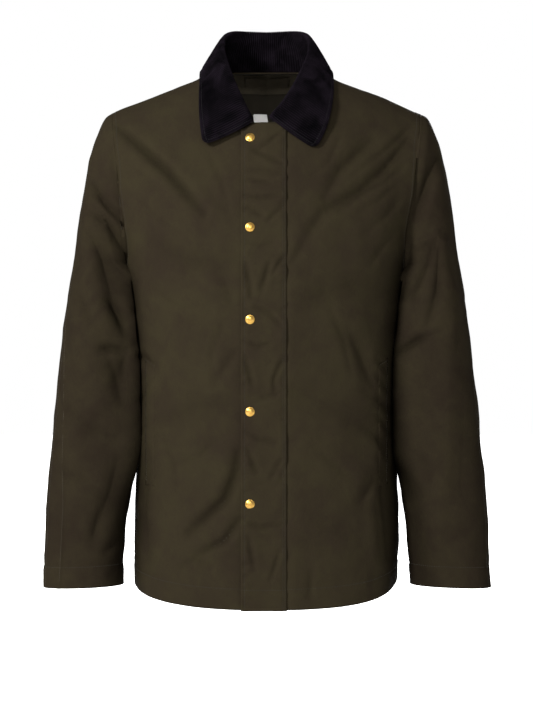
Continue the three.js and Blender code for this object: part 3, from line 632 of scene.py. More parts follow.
def mapped(tree, vector, scale):
    return add(tree, "Mapping", {"Vector": vector, "Scale": scale}).outputs["Vector"]


def ranged(tree, value, low, high, to_low, to_high):
    values = {"Value": value, "From Min": low, "From Max": high, "To Min": to_low, "To Max": to_high}
    return add(tree, "MapRange", values).outputs["Result"]


def maths(tree, kind, a, b):
    return add(tree, "Math", {0: a, 1: b}, operation=kind).outputs[0]


def bump_node(tree, height, distance, strength=1.0, below=None):
    values = {"Height": height, "Distance": distance, "Strength": strength}
    if below is not None:
        values["Normal"] = below
    return add(tree, "Bump", values).outputs["Normal"]


def yarns(tree, uv, fine, long):
    """The crossing yarns of a plain weave."""
    across = noise_node(tree, mapped(tree, uv, (long, fine, 1.0)), 1.0, 2.0, 0.6)
    up = noise_node(tree, mapped(tree, uv, (fine, long, 1.0)), 1.0, 2.0, 0.6)
    return maths(tree, "ADD", across, up)


def waxed_cotton(name, colours, upper=None):
    """Waxed cotton: a fine plain weave under wax that has rubbed unevenly, with faint crackled creases.

    The upper colours, where there are any, take over near the shoulders.
    """
    material, tree, shader, uv, place = new_material(name)
    broad = noise_node(tree, place, 15.0, 5.0, 0.62, 0.6)
    patchy = noise_node(tree, place, 70.0, 5.0, 0.65, 0.6)
    weave = yarns(tree, uv, 2600.0, 260.0)
    stir = add(tree, "TexNoise", {"Vector": place, "Scale": 14.0, "Detail": 4.0}).outputs["Color"]
    shrink = add(tree, "VectorMath", {0: stir, "Scale": 0.09}, operation="SCALE").outputs["Vector"]
    wobble = add(tree, "VectorMath", {0: place, 1: shrink}, operation="ADD").outputs["Vector"]
    cracks = add(tree, "TexVoronoi", {"Vector": wobble, "Scale": 22.0}, feature="DISTANCE_TO_EDGE")
    line = ranged(tree, cracks.outputs["Distance"], 0.0, 0.035, 1.0, 0.0)
    cracked = maths(tree, "MULTIPLY", line, maths(tree, "MULTIPLY", patchy, broad))
    tone = maths(tree, "ADD", maths(tree, "MULTIPLY", broad, 0.7), maths(tree, "MULTIPLY", patchy, 0.3))
    tone = maths(tree, "ADD", tone, maths(tree, "MULTIPLY", maths(tree, "SUBTRACT", weave, 1.0), 0.45))
    tone = maths(tree, "ADD", tone, maths(tree, "MULTIPLY", cracked, 0.14))
    stops = (0.36, 0.5, 0.64)
    colour = ramp(tree, tone, list(zip(stops, colours)))
    if upper is not None:
        above = ramp(tree, tone, list(zip(stops, upper)))
        height = add(tree, "SeparateXYZ", {"Vector": place}).outputs["Z"]
        share = ranged(tree, height, -0.2, -0.1, 0.0, 1.0)
        colour = add(tree, "Mix", {"Factor": share, 6: colour, 7: above}, data_type="RGBA").outputs[2]
    # painted shade: the base colour is scaled by the mesh's painted shade attribute
    painted_shade_factor = add(tree, "Attribute", {}, attribute_name="painted_shade").outputs["Fac"]
    colour = add(tree, "VectorMath", {0: colour, "Scale": painted_shade_factor}, operation="SCALE").outputs["Vector"]
    rubbed = bump_node(tree, patchy, 0.0007, 0.5)
    crackled = bump_node(tree, line, 0.0003, 0.35, rubbed)
    put(tree, shader, {
        "Base Color": colour,
        "Roughness": ranged(tree, patchy, 0.3, 0.7, 0.72, 0.88),
        "Specular IOR Level": 0.004,
        "Specular Tint": (1.0, 0.84, 0.56, 1),
        "Normal": bump_node(tree, weave, 0.00022, 0.6, crackled),
    })
    return material


def corduroy(name):
    """The pile of the collar: short, dense and lighter along the ribs' crests."""
    material, tree, shader, uv, place = new_material(name)
    pile = noise_node(tree, mapped(tree, uv, (2600.0, 700.0, 1.0)), 1.0, 3.0, 0.7)
    brushed = noise_node(tree, place, 42.0, 4.0, 0.6, 0.5)
    crest = ranged(tree, add(tree, "NewGeometry", {}).outputs["Pointiness"], 0.44, 0.58, 0.0, 1.0)
    tone = maths(tree, "ADD", maths(tree, "MULTIPLY", pile, 0.35), maths(tree, "MULTIPLY", brushed, 0.6))
    tone = maths(tree, "ADD", maths(tree, "SUBTRACT", tone, 0.07), maths(tree, "MULTIPLY", crest, 0.2))
    stops = [(0.34, (0.0001, 0.0001, 0.0002)), (0.49, (0.0009, 0.00065, 0.00095)),
             (0.64, (0.0031, 0.0022, 0.0034))]
    put(tree, shader, {
        "Base Color": ramp(tree, tone, stops),
        "Roughness": 0.92,
        "Specular IOR Level": 0.01,
        "Sheen Weight": 0.0045,
        "Sheen Roughness": 0.42,
        "Sheen Tint": (0.55, 0.48, 0.6, 1),
        "Normal": bump_node(tree, pile, 0.0005, 0.8),
    })
    return material


def thread(name, colour):
    material, tree, shader, _, place = new_material(name)
    twist = noise_node(tree, place, 2400.0, 2.0, 0.6)
    put(tree, shader, {
        "Base Color": ramp(tree, twist, [(0.3, tuple(0.65 * c for c in colour)), (0.7, colour)]),
        "Roughness": 0.7,
        "Specular IOR Level": 0.15,
        "Normal": bump_node(tree, twist, 0.0002, 0.6),
    })
    return material


def plain_weave(name, dark, light, scale, roughness=0.8):
    material, tree, shader, uv, place = new_material(name)
    weave = yarns(tree, uv, scale, scale / 6)
    mottle = noise_node(tree, place, 60.0, 4.0, 0.6)
    tone = maths(tree, "ADD", maths(tree, "MULTIPLY", weave, 0.3), maths(tree, "MULTIPLY", mottle, 0.4))
    put(tree, shader, {
        "Base Color": ramp(tree, tone, [(0.35, dark), (0.65, light)]),
        "Roughness": roughness,
        "Specular IOR Level": 0.1,
        "Sheen Weight": 0.01,
        "Normal": bump_node(tree, weave, 0.0003, 0.7),
    })
    return material


def brass(name):
    material, tree, shader, _, place = new_material(name)
    tarnish = noise_node(tree, place, 320.0, 4.0, 0.6)
    put(tree, shader, {
        "Base Color": ramp(tree, tarnish, [(0.3, (0.2, 0.11, 0.022)), (0.7, (0.31, 0.19, 0.05))]),
        "Metallic": 1.0,
        "Roughness": ranged(tree, tarnish, 0.0, 1.0, 0.26, 0.42),
        "Normal": bump_node(tree, noise_node(tree, place, 2200.0, 2.0, 0.5), 0.00008, 0.5),
    })
    return material


OLIVE = ((0.0082, 0.0061, 0.004), (0.0093, 0.0073, 0.0043), (0.0103, 0.0084, 0.0046))
SLEEVE_OLIVE = ((0.0066, 0.0048, 0.0032), (0.0078, 0.006, 0.0037), (0.0091, 0.0072, 0.0041))
wax = waxed_cotton("waxed_cotton", OLIVE)
sleeve_wax = waxed_cotton("waxed_cotton_sleeves", SLEEVE_OLIVE, upper=OLIVE)
lining = plain_weave("inner_cotton", (0.0095, 0.0076, 0.0047), (0.0155, 0.0128, 0.008), 1300.0)
# painted light: the back neck facing uses a much lighter copy of the inner cotton, so it looks lit though
# the collar shades it
facing_cotton_painted_light = plain_weave("facing_cotton_painted_light", (0.034, 0.028, 0.018), (0.052, 0.043, 0.028), 1300.0)
tape = plain_weave("neck_tape", (0.034, 0.0275, 0.0178), (0.052, 0.0425, 0.0275), 900.0)
cord = corduroy("collar_pile")
cord_under = plain_weave("collar_under", (0.0012, 0.0009, 0.0013), (0.0024, 0.0019, 0.0025), 1300.0)
olive_thread = thread("olive_thread", (0.0094, 0.0077, 0.0047))
light_thread = thread("light_thread", (0.021, 0.0175, 0.0108))
black_thread = thread("black_thread", (0.002, 0.0016, 0.0022))
label_cloth = plain_weave("label_weave", (0.62, 0.61, 0.59), (0.76, 0.75, 0.73), 1800.0, 0.6)
metal = brass("snap_brass")


# Stitches

STITCH_PITCH = 3.3
STITCH_LENGTH = 2.3
STITCH_RADIUS = 0.34
# place along the stitch, share of the radius, height over the cloth
STITCH_RINGS = ((-0.5, 0.5, -0.22), (-0.25, 1.0, 0.12), (0.25, 1.0, 0.12), (0.5, 0.5, -0.22))
stitch_lines = {"olive": [], "light": [], "black": []}


def sew(places, normals, colour="olive", pitch=STITCH_PITCH):
    """Keeps a line of stitches that runs through these places, to be made later."""
    stitch_lines[colour].append((np.asarray(places), np.asarray(normals), pitch))


def stitch_mesh(name, lines, material):
    verts, faces = [], []
    sides = 5
    turn = np.linspace(0, 2 * np.pi, sides, endpoint=False)
    count = 0
    for places, normals, pitch in lines:
        length = arc(places)
        number = int(length[-1] / pitch)
        if number < 1:
            continue
        middles = (np.arange(number) + 0.5) * length[-1] / number
        for shift, radius, rise in STITCH_RINGS:
            at = middles + shift * STITCH_LENGTH
            p = np.stack([np.interp(at, length, places[:, i]) for i in range(3)], 1)
            n = unit(np.stack([np.interp(at, length, normals[:, i]) for i in range(3)], 1))
            ahead = np.stack([np.interp(at + 0.5, length, places[:, i]) for i in range(3)], 1)
            behind = np.stack([np.interp(at - 0.5, length, places[:, i]) for i in range(3)], 1)
            side = unit(np.cross(unit(ahead - behind), n))
            cos, sin = np.cos(turn)[None, :, None], np.sin(turn)[None, :, None]
            around = cos * side[:, None] + 0.8 * sin * n[:, None]
            verts.append((p + n * rise)[:, None] + STITCH_RADIUS * radius * around)
        block = np.stack(verts[-4:], 1)
        verts[-4:] = [block.reshape(-1, 3)]
        for k in range(number):
            base = count + k * 4 * sides
            for r in range(3):
                for i in range(sides):
                    j = (i + 1) % sides
                    a, b = base + r * sides, base + (r + 1) * sides
                    faces.append((a + i, a + j, b + j, b + i))
            faces.append(tuple(base + i for i in range(sides))[::-1])
            faces.append(tuple(base + 3 * sides + i for i in range(sides)))
        count += number * 4 * sides
    return mesh_object(name, np.concatenate(verts), faces, [material])


def line_from_edge(sheet, edge, distance, rows=None):
    """A line on a sheet that keeps a distance from its left, right, bottom or top edge."""
    p, n = sheet["p"], sheet["n"]
    if edge in ("bottom", "top"):
        p, n = p.transpose(1, 0, 2), n.transpose(1, 0, 2)
    if edge in ("right", "top"):
        p, n = p[:, ::-1], n[:, ::-1]
    if rows is not None:
        p, n = p[rows], n[rows]
    both = np.concatenate([p, n], 2)
    found = np.array([at_lengths6(line, distance) for line in both])
    return found[:, :3], unit(found[:, 3:])


def at_lengths6(line, distance):
    lengths = arc(line[:, :3])
    return np.array([np.interp(distance, lengths, line[:, i]) for i in range(6)])


# Body and sleeves

back_half = half_panel(1, 0.0)
back = np.concatenate([mirrored(back_half)[:, :0:-1], back_half], 1)
sheets = {
    "back": make_sheet(back, True),
    "front_right": make_sheet(mirrored(half_panel(-1, -UNDERLAP_X)), True),
    "front_left": make_sheet(half_panel(-1, FLAP_SEAM_X - 4), False),
    "sleeve_left_front": make_sheet(half_sleeve(-1), False),
    "sleeve_left_back": make_sheet(half_sleeve(1), True),
    "sleeve_right_front": make_sheet(mirrored(half_sleeve(-1)), True),
    "sleeve_right_back": make_sheet(mirrored(half_sleeve(1)), False),
}
share_normals(sheets.values())

HEM_TURN = 28.0
CUFF_TURN = 29.0

for name, sheet in sheets.items():
    p, n = sheet["p"], sheet["n"]
    base = p.copy()
    left, right, bottom, top = edge_distance(p)
    calmer = 0.4 + 0.6 * smooth((left if name.startswith("sleeve") else top) / 34)
    depth = fold_depth(base)
    out = -depth + cloth_noise(base) * calmer
    filled = 1.6 * smooth((base[..., 2] + 255) / 70) * smooth((np.abs(base[..., 1] - AXIS_Y) - 12) / 35)
    if name.startswith("sleeve"):
        # a sleeve's bottom row is at the armhole, its top one at the cuff, its left one at the outer seam
        out += 0.45 * (1 - smooth((top - CUFF_TURN + 1.5) / 1.5))
        out -= 0.7 * bump(top - CUFF_TURN, 1.8)
        out += 0.8 * puckers(base, top - CUFF_TURN, 16.0, 13.0, 21)
        out += 0.9 * puckers(base, bottom, 22.0, 17.0, 22)
        out += 0.7 * puckers(base, left, 12.0, 15.0, 23)
        out += armhole_fill(base) * bump(bottom, 20.0) + filled * bump(bottom, 5.0)
        out += 0.55 * bump(bottom, 10.0) * depth
        out -= armhole_groove(base) * bump(bottom, 2.0) + 0.8 * bump(left, 2.0) + 0.8 * bump(right, 2.0)
        outer = smooth((left - 12) / 32)
        out += crumple(base) * (1 - bump(bottom, 14.0)) * (0.25 + 0.75 * outer)
        out += 0.7 * (1 - outer) * depth
        if name.endswith("front"):
            out += 0.55 * (1 - smooth((left - 6.0) / 1.5))
        if name == "sleeve_right_front":
            from_line = base[..., 0] - pressed_line(base[..., 2])
            out += 1.8 * bump(from_line, 2.2) * smooth((-335 - base[..., 2]) / 20)
    else:
        out += 0.45 * (1 - smooth((bottom - HEM_TURN + 1.5) / 1.5))
        out -= 0.6 * bump(bottom - HEM_TURN, 1.8)
        out += 0.9 * puckers(base, bottom - HEM_TURN, 18.0, 14.0, 24)
        out += 1.6 * bump(bottom, 60.0) * noise(base * np.array([1.0, 1.0, 0.25]), 60.0, 25)
        lap = 0.35 - 0.3 * smooth((base[..., 2] + 190) / 60)
        for side, seed in ((right, 26), (left, 27)) if name == "back" else ((right, 26),):
            out += armhole_fill(base) * bump(side, 20.0) + filled * bump(side, 5.0)
            out += 0.55 * depth * bump(side, 10.0) - armhole_groove(base) * bump(side, 2.0)
            out += lap * smooth(side / 1.5) * (1 - smooth((side - 7.0) / 2.0))
            out += 0.7 * puckers(base, side, 18.0, 15.0, seed)
        out -= 0.8 * bump(top, 2.0) * (np.abs(base[..., 0]) > NECK_HALF_WIDTH)
    if name == "front_right":
        out = mix(out, 0.2 * out - 0.6, smooth((base[..., 0] - FLAP_EDGE_X - 1) / 7))
    if name == "front_left":
        share = 1 - smooth((base[..., 0] - FLAP_SEAM_X - 3) / (FLAP_BLEND_X - FLAP_SEAM_X))
        out = mix(out, 0.45 * out, 1 - smooth((base[..., 0] - FLAP_SEAM_X - 1) / 8))
        out += 1.3 * share * smooth((base[..., 0] - FLAP_SEAM_X + 1) / 3)
        out += 0.9 * puckers(base, left - 4, 14.0, 14.0, 28)
    # painted shade for the crease, side and inner-arm darkening of each sheet
    sheet["tone"] = painted_shade(name, base, depth, left, right)
    sheet["p"] = base + n * out[..., None]

for name, sheet in sheets.items():
    sheet["n"] = grid_normals(sheet["p"], sheet["flip"])
share_normals(sheets.values())

objects = {}
for name, sheet in sheets.items():
    outside = sleeve_wax if name.startswith("sleeve") else wax
    objects[name] = sheet_object(name + "_cloth", sheet, outside, lining)

# Storm flap

FLAP_COLUMNS = 26
FLAP_ROWS = 236


def flap_top(x):
    return mix(-86.5, -78.5, smooth((x - FLAP_EDGE_X) / 20.0))


def flap_place(columns, rows):
    x = np.linspace(FLAP_EDGE_X, FLAP_SEAM_X, columns + 1)[None, :]
    t = np.linspace(0, 1, rows + 1)[:, None]
    z = mix(hem_z(x, -1) - 1.0, flap_top(x), t)
    x = np.broadcast_to(x, z.shape)
    return np.stack([x, torso_y(x, z, -1), z], -1)


flap = flap_place(FLAP_COLUMNS, FLAP_ROWS)
flap_n = grid_normals(flap, False)
left, right, bottom, top = edge_distance(flap)
nearest_snap = np.full(flap.shape[:2], 1e9)
for k in range(SNAP_COUNT):
    z = SNAP_TOP_Z - SNAP_PITCH * k
    nearest_snap = np.minimum(nearest_snap, np.hypot(flap[..., 0] - SNAP_X, flap[..., 2] - z))
between = np.abs(np.sin(np.pi * (flap[..., 2] - SNAP_TOP_Z) / SNAP_PITCH))
flap_depth = fold_depth(flap, FLAP_FOLDS, ())
out = FLAP_LIFT + 1.0 - 0.45 * fold_depth(flap) - 2.1 * flap_depth + 0.45 * cloth_noise(flap)
out += 2.0 * between * bump(left, 26.0) * (0.6 + 0.4 * noise(flap, 70.0, 31))
drag = flap * np.array([0.32, 1.0, 1.0])
out += 1.7 * bump(left - 6.0, 7.0) * noise(drag, 8.0, 32)
out += 1.9 * bump(right - 4.0, 9.0) * noise(drag, 9.0, 33)
out += 2.2 * noise(flap * np.array([0.5, 1.0, 1.0]), 30.0, 34) + 1.1 * noise(drag, 12.0, 35)
out -= 0.9 * bump(nearest_snap, 9.0)
out -= 1.0 * bump(left - 5.0, 1.7) + 0.7 * bump(right - 3.9, 2.4) + 0.6 * bump(bottom - HEM_TURN, 1.8)
out -= 0.5 * bump(right, 1.6)
out -= 1.1 * (1 - smooth(right / 7.0))
out = np.maximum(out, 1.5)
# painted shade in the flap's creases: the deeper the crease, the darker
flap_painted_shade = 1 - 0.09 * np.clip(flap_depth, 0, 3)
flap_sheet = {"tone": flap_painted_shade, "p": flap + flap_n * out[..., None], "flip": False}
flap_sheet["n"] = grid_normals(flap_sheet["p"], False)
objects["storm_flap"] = sheet_object("storm_flap_cloth", flap_sheet, wax, lining, 1.5)

# Snaps

SNAP_PROFILE = [
    (0.0, 2.55), (1.2, 2.52), (2.4, 2.38), (3.5, 2.1), (4.4, 1.7), (5.1, 1.25), (5.6, 0.95), (5.85, 0.95),
    (6.15, 0.85), (6.3, 0.55), (6.25, 0.2), (5.9, 0.0), (5.0, -0.25),
]


def lathe(name, profile, origin, axis, segments, material):
    axis = unit(np.asarray(axis, float))
    side = unit(np.cross(axis, (0.0, 0.0, 1.0)))
    other = np.cross(axis, side)
    turn = np.linspace(0, 2 * np.pi, segments, endpoint=False)
    verts, faces = [origin + axis * profile[0][1]], []
    for radius, height in profile[1:]:
        for t in turn:
            verts.append(origin + axis * height + radius * (math.cos(t) * side + math.sin(t) * other))
    for i in range(segments):
        j = (i + 1) % segments
        faces.append((0, 1 + i, 1 + j))
        for r in range(len(profile) - 2):
            a, b = 1 + r * segments, 1 + (r + 1) * segments
            faces.append((a + i, b + i, b + j, a + j))
    return mesh_object(name, np.array(verts), faces, [material])


for k in range(SNAP_COUNT):
    z = SNAP_TOP_Z - SNAP_PITCH * k
    away = np.hypot(flap_sheet["p"][..., 0] - SNAP_X, flap_sheet["p"][..., 2] - z)
    r, c = np.unravel_index(np.argmin(away), away.shape)
    normal = unit(flap_n[r, c])
    place = np.array([SNAP_X, flap_sheet["p"][r, c, 1], z])
    seat = place + normal * 0.25
    objects[f"snap_{k + 1}"] = lathe(f"snap_{k + 1}_cap", SNAP_PROFILE, seat, normal, 40, metal)

# Collar

COLLAR_COLUMNS = 900
COLLAR_ACROSS = 38
WALE = 3.1
COLLAR_CLOTH = 2.4


def collar_rows(table, ats, acrosses):
    """The shown side of half the collar: from the neckline up to the fold and down to its edge."""
    rows = []
    for at in ats:
        g = [float(along(table, i, at)) for i in range(9)]
        fold, edge, around = np.array(g[2:5]), np.array(g[5:8]), g[8]
        seam = neckline(g[1])
        sideways = abs(math.cos(math.radians(g[1])))
        lift = mix(0.9, 3.0, float(smooth((g[1] - 40) / 40)))
        seam[2] += lift * (1 - sideways / 2)
        seam[0] -= lift * sideways
        away = unit(np.array([edge[0] - fold[0], edge[1] - fold[1], 0.0]))
        sag = np.array([0.0, 0.0, 6.0 * float(smooth((at - 0.9) / 0.1))])
        up = np.array([seam[0], seam[1], fold[2]])
        first = [seam, (seam + up) / 2, fold - away * around, fold]
        leaf = mix(edge, fold, 0.4) + away * around * 0.6 - sag
        second = [fold, fold + away * around - 0.5 * sag, leaf, edge]
        row = []
        for s in acrosses:
            pts, t = (first, s / 0.45) if s < 0.45 else (second, (s - 0.45) / 0.55)
            start, end = (1 - t) ** 3 * pts[0] + 3 * t * (1 - t) ** 2 * pts[1], 3 * t * t * (1 - t) * pts[2]
            row.append(start + end + t**3 * pts[3])
        rows.append(row)
    return np.array(rows)


ats = np.linspace(0, 1, 61)
acrosses = np.linspace(0, 1, COLLAR_ACROSS + 1)
right_half = mirrored(collar_rows(COLLAR_RIGHT, ats[:0:-1], acrosses))
coarse = np.concatenate([right_half, collar_rows(COLLAR_LEFT, ats, acrosses)])
middle = arc(coarse[:, int(0.6 * COLLAR_ACROSS)])
goals = np.linspace(0, middle[-1], COLLAR_COLUMNS + 1)
collar = np.stack([
    np.stack([np.interp(goals, middle, coarse[:, j, i]) for i in range(3)], 1)
    for j in range(COLLAR_ACROSS + 1)
], 1)
for _ in range(3):
    inner = (np.roll(collar, 6, axis=0) + np.roll(collar, -6, axis=0) + collar) / 3
    collar[6:-6] = inner[6:-6]


def round_tip(surface, radius):
    """Rounds the corner where the last row meets the last column."""
    rows, columns = surface.shape[:2]
    row_step = np.linalg.norm(surface[-1, -1] - surface[-2, -1])
    column_step = np.linalg.norm(surface[-1, -1] - surface[-1, -2])
    deep, wide = min(rows - 2, int(radius / row_step) + 1), min(columns - 2, int(radius / column_step) + 1)
    r, c = np.meshgrid(np.arange(rows - deep, rows), np.arange(columns - wide, columns), indexing="ij")
    u, v = (r - (rows - 1 - deep)) / deep, (c - (columns - 1 - wide)) / wide
    u, v = u * np.sqrt(1 - v * v / 2), v * np.sqrt(1 - u * u / 2)
    fr, fc = rows - 1 - deep + u * deep, columns - 1 - wide + v * wide
    r0, c0 = np.minimum(fr.astype(int), rows - 2), np.minimum(fc.astype(int), columns - 2)
    a, b = (fr - r0)[..., None], (fc - c0)[..., None]
    moved = (
        surface[r0, c0] * (1 - a) * (1 - b) + surface[r0 + 1, c0] * a * (1 - b)
        + surface[r0, c0 + 1] * (1 - a) * b + surface[r0 + 1, c0 + 1] * a * b
    )
    surface = surface.copy()
    surface[r, c] = moved
    return surface


collar = round_tip(round_tip(collar, 11.0)[::-1], 11.0)[::-1]
collar_n = grid_normals(collar, True)
_, near_edge, first, last = edge_distance(collar)
rim = np.minimum(np.minimum(first, last), near_edge)
wale = np.cos(2 * np.pi * goals / WALE)[:, None]
out = COLLAR_CLOTH + 0.7 * wale * smooth(rim / 2.0)
out = out + 0.3 * noise(collar, 42.0, 41) + 0.2 * noise(collar, 15.0, 42)
out = out - 0.7 * bump(rim - 5.5, 1.3) - 1.1 * (1 - smooth(rim / 2.2))
collar_sheet = {"p": collar + collar_n * out[..., None], "flip": True}
collar_sheet["n"] = grid_normals(collar_sheet["p"], True)


def collar_object():
    p, under = collar_sheet["p"], collar + collar_n * 0.1
    rows, columns = p.shape[:2]
    u = np.broadcast_to(goals[:, None], (rows, columns))
    v = across_lengths(p)
    uv = np.stack([u, v], -1).reshape(-1, 2) * MM
    faces = grid_faces(rows, columns, True)
    step = 5
    keep = np.arange(0, rows, step)
    low = under[keep]
    low_faces = grid_faces(len(keep), columns, False) + rows * columns
    count = rows * columns
    top_index = np.arange(count).reshape(rows, columns)
    low_index = np.arange(low.shape[0] * columns).reshape(-1, columns) + count
    rim_faces = []
    for c, flip in ((0, False), (columns - 1, True)):
        for k in range(len(keep) - 1):
            corner = [low_index[k + 1, c], low_index[k, c]]
            corner += [top_index[i, c] for i in range(keep[k], keep[k + 1] + 1)]
            rim_faces.append(corner if flip else corner[::-1])
    for r, k, flip in ((0, 0, True), (rows - 1, len(keep) - 1, False)):
        for c in range(columns - 1):
            quad = [top_index[r, c], top_index[r, c + 1], low_index[k, c + 1], low_index[k, c]]
            rim_faces.append(quad if flip else quad[::-1])
    verts = np.concatenate([p.reshape(-1, 3), low.reshape(-1, 3)])
    low_u = np.broadcast_to(goals[keep][:, None], low.shape[:2])
    low_uv = np.stack([low_u, across_lengths(low)], -1).reshape(-1, 2) * MM
    every_face = [[int(i) for i in f] for group in (faces, low_faces, rim_faces) for f in group]
    sides = [0] * len(faces) + [1] * len(low_faces) + [0] * len(rim_faces)
    uvs = np.concatenate([uv, low_uv])
    return mesh_object("collar_corduroy", verts, every_face, (cord, cord_under), uvs, sides)


objects["collar"] = collar_object()

# Pocket welts

POCKET_TOP_Z = -404.0
POCKET_LENGTH = 165.0
POCKET_X = 152.0
WELT_WIDTH = 13.5

def on_sheet(sheet, x, z):
    """The places on a sheet that are seen from the front at these X and Z, with their normals."""
    p, n = sheet["p"], sheet["n"]
    flat = p.reshape(-1, 3)
    normals = n.reshape(-1, 3)
    made, faced = np.empty(x.shape + (3,)), np.empty(x.shape + (3,))
    for index in np.ndindex(x.shape):
        away = (flat[:, 0] - x[index]) ** 2 + (flat[:, 2] - z[index]) ** 2
        near = np.argpartition(away, 4)[:4]
        w = 1 / (away[near] + 0.05)
        w /= w.sum()
        made[index] = (x[index], float((flat[near, 1] * w).sum()), z[index])
        faced[index] = (normals[near] * w[:, None]).sum(0)
    return made, unit(faced)


def welt(name, side, sheet):
    rows, columns = 60, 6
    u = np.linspace(0, 1, columns + 1)[None, :]
    t = np.linspace(0, 1, rows + 1)[:, None]
    x = side * (POCKET_X + WELT_WIDTH * u) + 0 * t
    top = POCKET_TOP_Z + 9 * u
    z = mix(POCKET_TOP_Z - POCKET_LENGTH, top, t)
    place, normal = on_sheet(sheet, x, z)
    left, right, bottom, top = edge_distance(place)
    edge = np.minimum(np.minimum(left, right), top)
    out = 0.7 - 0.6 * (1 - smooth(edge / 3.0)) - 0.2 * bump(edge - 3.2, 0.9)
    out = mix(0.08, out, smooth(bottom / 30.0))
    out = out + 0.2 * noise(place, 14.0, 51)
    # the welt takes the same painted shade as the front beneath it
    made = {"p": place + normal * out[..., None], "flip": side < 0,
            "tone": painted_shade("front", place, fold_depth(place), left, right)}
    made["n"] = grid_normals(made["p"], made["flip"])
    sew(*line_from_edge(made, "right", 2.6, slice(2, -2)))
    sew(*line_from_edge(made, "top", 2.6))
    return sheet_object(name, made, wax, lining, 1.3)


objects["pocket_welt_right"] = welt("pocket_welt_right_cloth", -1, sheets["front_right"])
objects["pocket_welt_left"] = welt("pocket_welt_left_cloth", 1, sheets["front_left"])

# Inside the back neck


def inside(name, xs, bottom_z, top_z, rows, under, thickness, outside, slant=0.0):
    """A small piece sewn inside the back neck, which lies this far under the back's inner side."""
    x = xs[None, :] + slant * np.linspace(1, 0, rows + 1)[:, None]
    z = mix(bottom_z + 0 * x, top_z(xs)[None, :] + 0 * x, np.linspace(0, 1, rows + 1)[:, None])
    base = np.stack([x, torso_y(x, z, 1), z], -1)
    normal = grid_normals(base, True)
    shift = -fold_depth(base) + cloth_noise(base) - under - CLOTH + 0.15 * noise(base, 12.0, 61)
    made = {"p": base + normal * shift[..., None], "n": normal, "flip": True}
    turned = {"p": made["p"] - normal * thickness, "n": -normal, "flip": False}
    return sheet_object(name, turned, outside, outside, thickness), turned


def neck_z(xs):
    turns = [math.acos(min(1.0, abs(x) / NECK_HALF_WIDTH)) for x in xs]
    return np.array([neckline(-math.degrees(turn))[2] for turn in turns])


objects["back_neck_facing"], facing = inside(
    "back_neck_facing_cloth", np.linspace(-62, 62, 63), -14.0, lambda xs: neck_z(xs) - 0.6, rows=24,
    under=0.5, thickness=1.0, outside=facing_cotton_painted_light)
objects["hanger_loop"], loop = inside(
    "hanger_loop_tape", np.linspace(-34, 34, 40), -4.5, lambda xs: 0 * xs + 8.0, rows=12,
    under=2.0, thickness=1.3, outside=tape)
objects["neck_label"], _ = inside(
    "neck_label_cloth", np.linspace(-20, 1, 22), -76.0, lambda xs: 0 * xs - 42.0, rows=30,
    under=0.5, thickness=0.8, outside=label_cloth, slant=5.0)

# Topstitching

for name, sheet in sheets.items():
    if name.startswith("sleeve"):
        sew(*line_from_edge(sheet, "top", CUFF_TURN))
        if name.endswith("front"):
            sew(*line_from_edge(sheet, "left", 3.0))
    else:
        sew(*line_from_edge(sheet, "bottom", HEM_TURN))
        sew(*line_from_edge(sheet, "right", 5.5, slice(ROWS_LOW, None)))
        if name == "back":
            sew(*line_from_edge(sheet, "left", 5.5, slice(ROWS_LOW, None)))
line_z = np.linspace(-700.0, -342.0, 160)
sew(*on_sheet(sheets["sleeve_right_front"], pressed_line(line_z), line_z), "light")
sew(*line_from_edge(flap_sheet, "left", 5.2))
sew(*line_from_edge(flap_sheet, "right", 2.4))
sew(*line_from_edge(flap_sheet, "right", 5.4))
sew(*line_from_edge(flap_sheet, "bottom", HEM_TURN))
sew(*line_from_edge(facing, "bottom", 2.0))
sew(*line_from_edge(loop, "left", 2.0), "black", 2.4)
sew(*line_from_edge(loop, "right", 2.0), "black", 2.4)
collar_line = {"p": collar_sheet["p"][::3], "n": collar_sheet["n"][::3]}
sew(*line_from_edge(collar_line, "right", 5.5), "black")
sew(*line_from_edge(collar_sheet, "bottom", 5.5, slice(20, -2)), "black")
sew(*line_from_edge(collar_sheet, "top", 5.5, slice(20, -2)), "black")
body_thread = stitch_mesh("body_topstitching", stitch_lines["olive"], olive_thread)
sleeve_thread = stitch_mesh("sleeve_topstitching", stitch_lines["light"], light_thread)
collar_thread = stitch_mesh("collar_topstitching", stitch_lines["black"], black_thread)

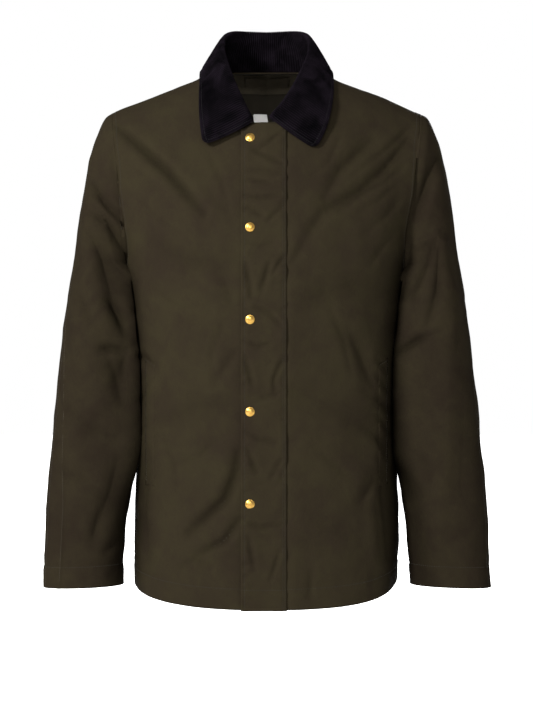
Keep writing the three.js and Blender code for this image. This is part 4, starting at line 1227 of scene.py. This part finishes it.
# What each piece stands for

for name, obj in objects.items():
    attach(obj, "root")
    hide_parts(name)
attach(body_thread, "root")
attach(sleeve_thread, "root")
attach(collar_thread, "root")

# Light, floor and camera

world = bpy.data.worlds.new("studio")
bpy.context.scene.world = world
world.use_nodes = True
world.node_tree.nodes["Background"].inputs["Color"].default_value = (1, 1, 1, 1)
world.node_tree.nodes["Background"].inputs["Strength"].default_value = 1.0


def area_light(name, place, target, size, power):
    data = bpy.data.lights.new(name, "AREA")
    data.shape = "SQUARE"
    data.size = size
    data.energy = power
    obj = bpy.data.objects.new(name, data)
    bpy.context.scene.collection.objects.link(obj)
    obj.location = place
    obj.rotation_euler = (Vector(target) - Vector(place)).to_track_quat("-Z", "Y").to_euler()
    return obj


area_light("key", (-1.7, -1.9, 1.1), (0, 0, -0.35), 0.55, 230)
area_light("front", (-0.3, -3.0, 0.6), (0, 0, -0.35), 0.5, 60)
area_light("behind", (0.5, 3.0, 0.7), (0, 0, -0.35), 1.0, 110)

FLOOR_Z = -0.86
corners = [(-9, -9, FLOOR_Z), (9, -9, FLOOR_Z), (9, 9, FLOOR_Z), (-9, 9, FLOOR_Z)]
floor_mesh = bpy.data.meshes.new("floor")
floor_mesh.from_pydata(corners, [], [(0, 1, 2, 3)])
floor = bpy.data.objects.new("floor", floor_mesh)
bpy.context.scene.collection.objects.link(floor)
pale, pale_tree, pale_shader, *_ = new_material("pale_floor")
put(pale_tree, pale_shader, {
    "Base Color": (0.9, 0.9, 0.9, 1),
    "Roughness": 1.0,
    "Emission Color": (1, 1, 1, 1),
    "Emission Strength": 0.85,
})
floor.data.materials.append(pale)

camera_data = bpy.data.cameras.new("camera")
camera_data.lens = 2000 * 36 / 711
camera_data.sensor_width = 36
camera = bpy.data.objects.new("camera", camera_data)
camera.location = (0, -2.8, -0.392)
camera.rotation_euler = (math.pi / 2, 0, 0)
bpy.context.scene.collection.objects.link(camera)
bpy.context.scene.camera = camera
bpy.context.scene.view_settings.view_transform = "Standard"
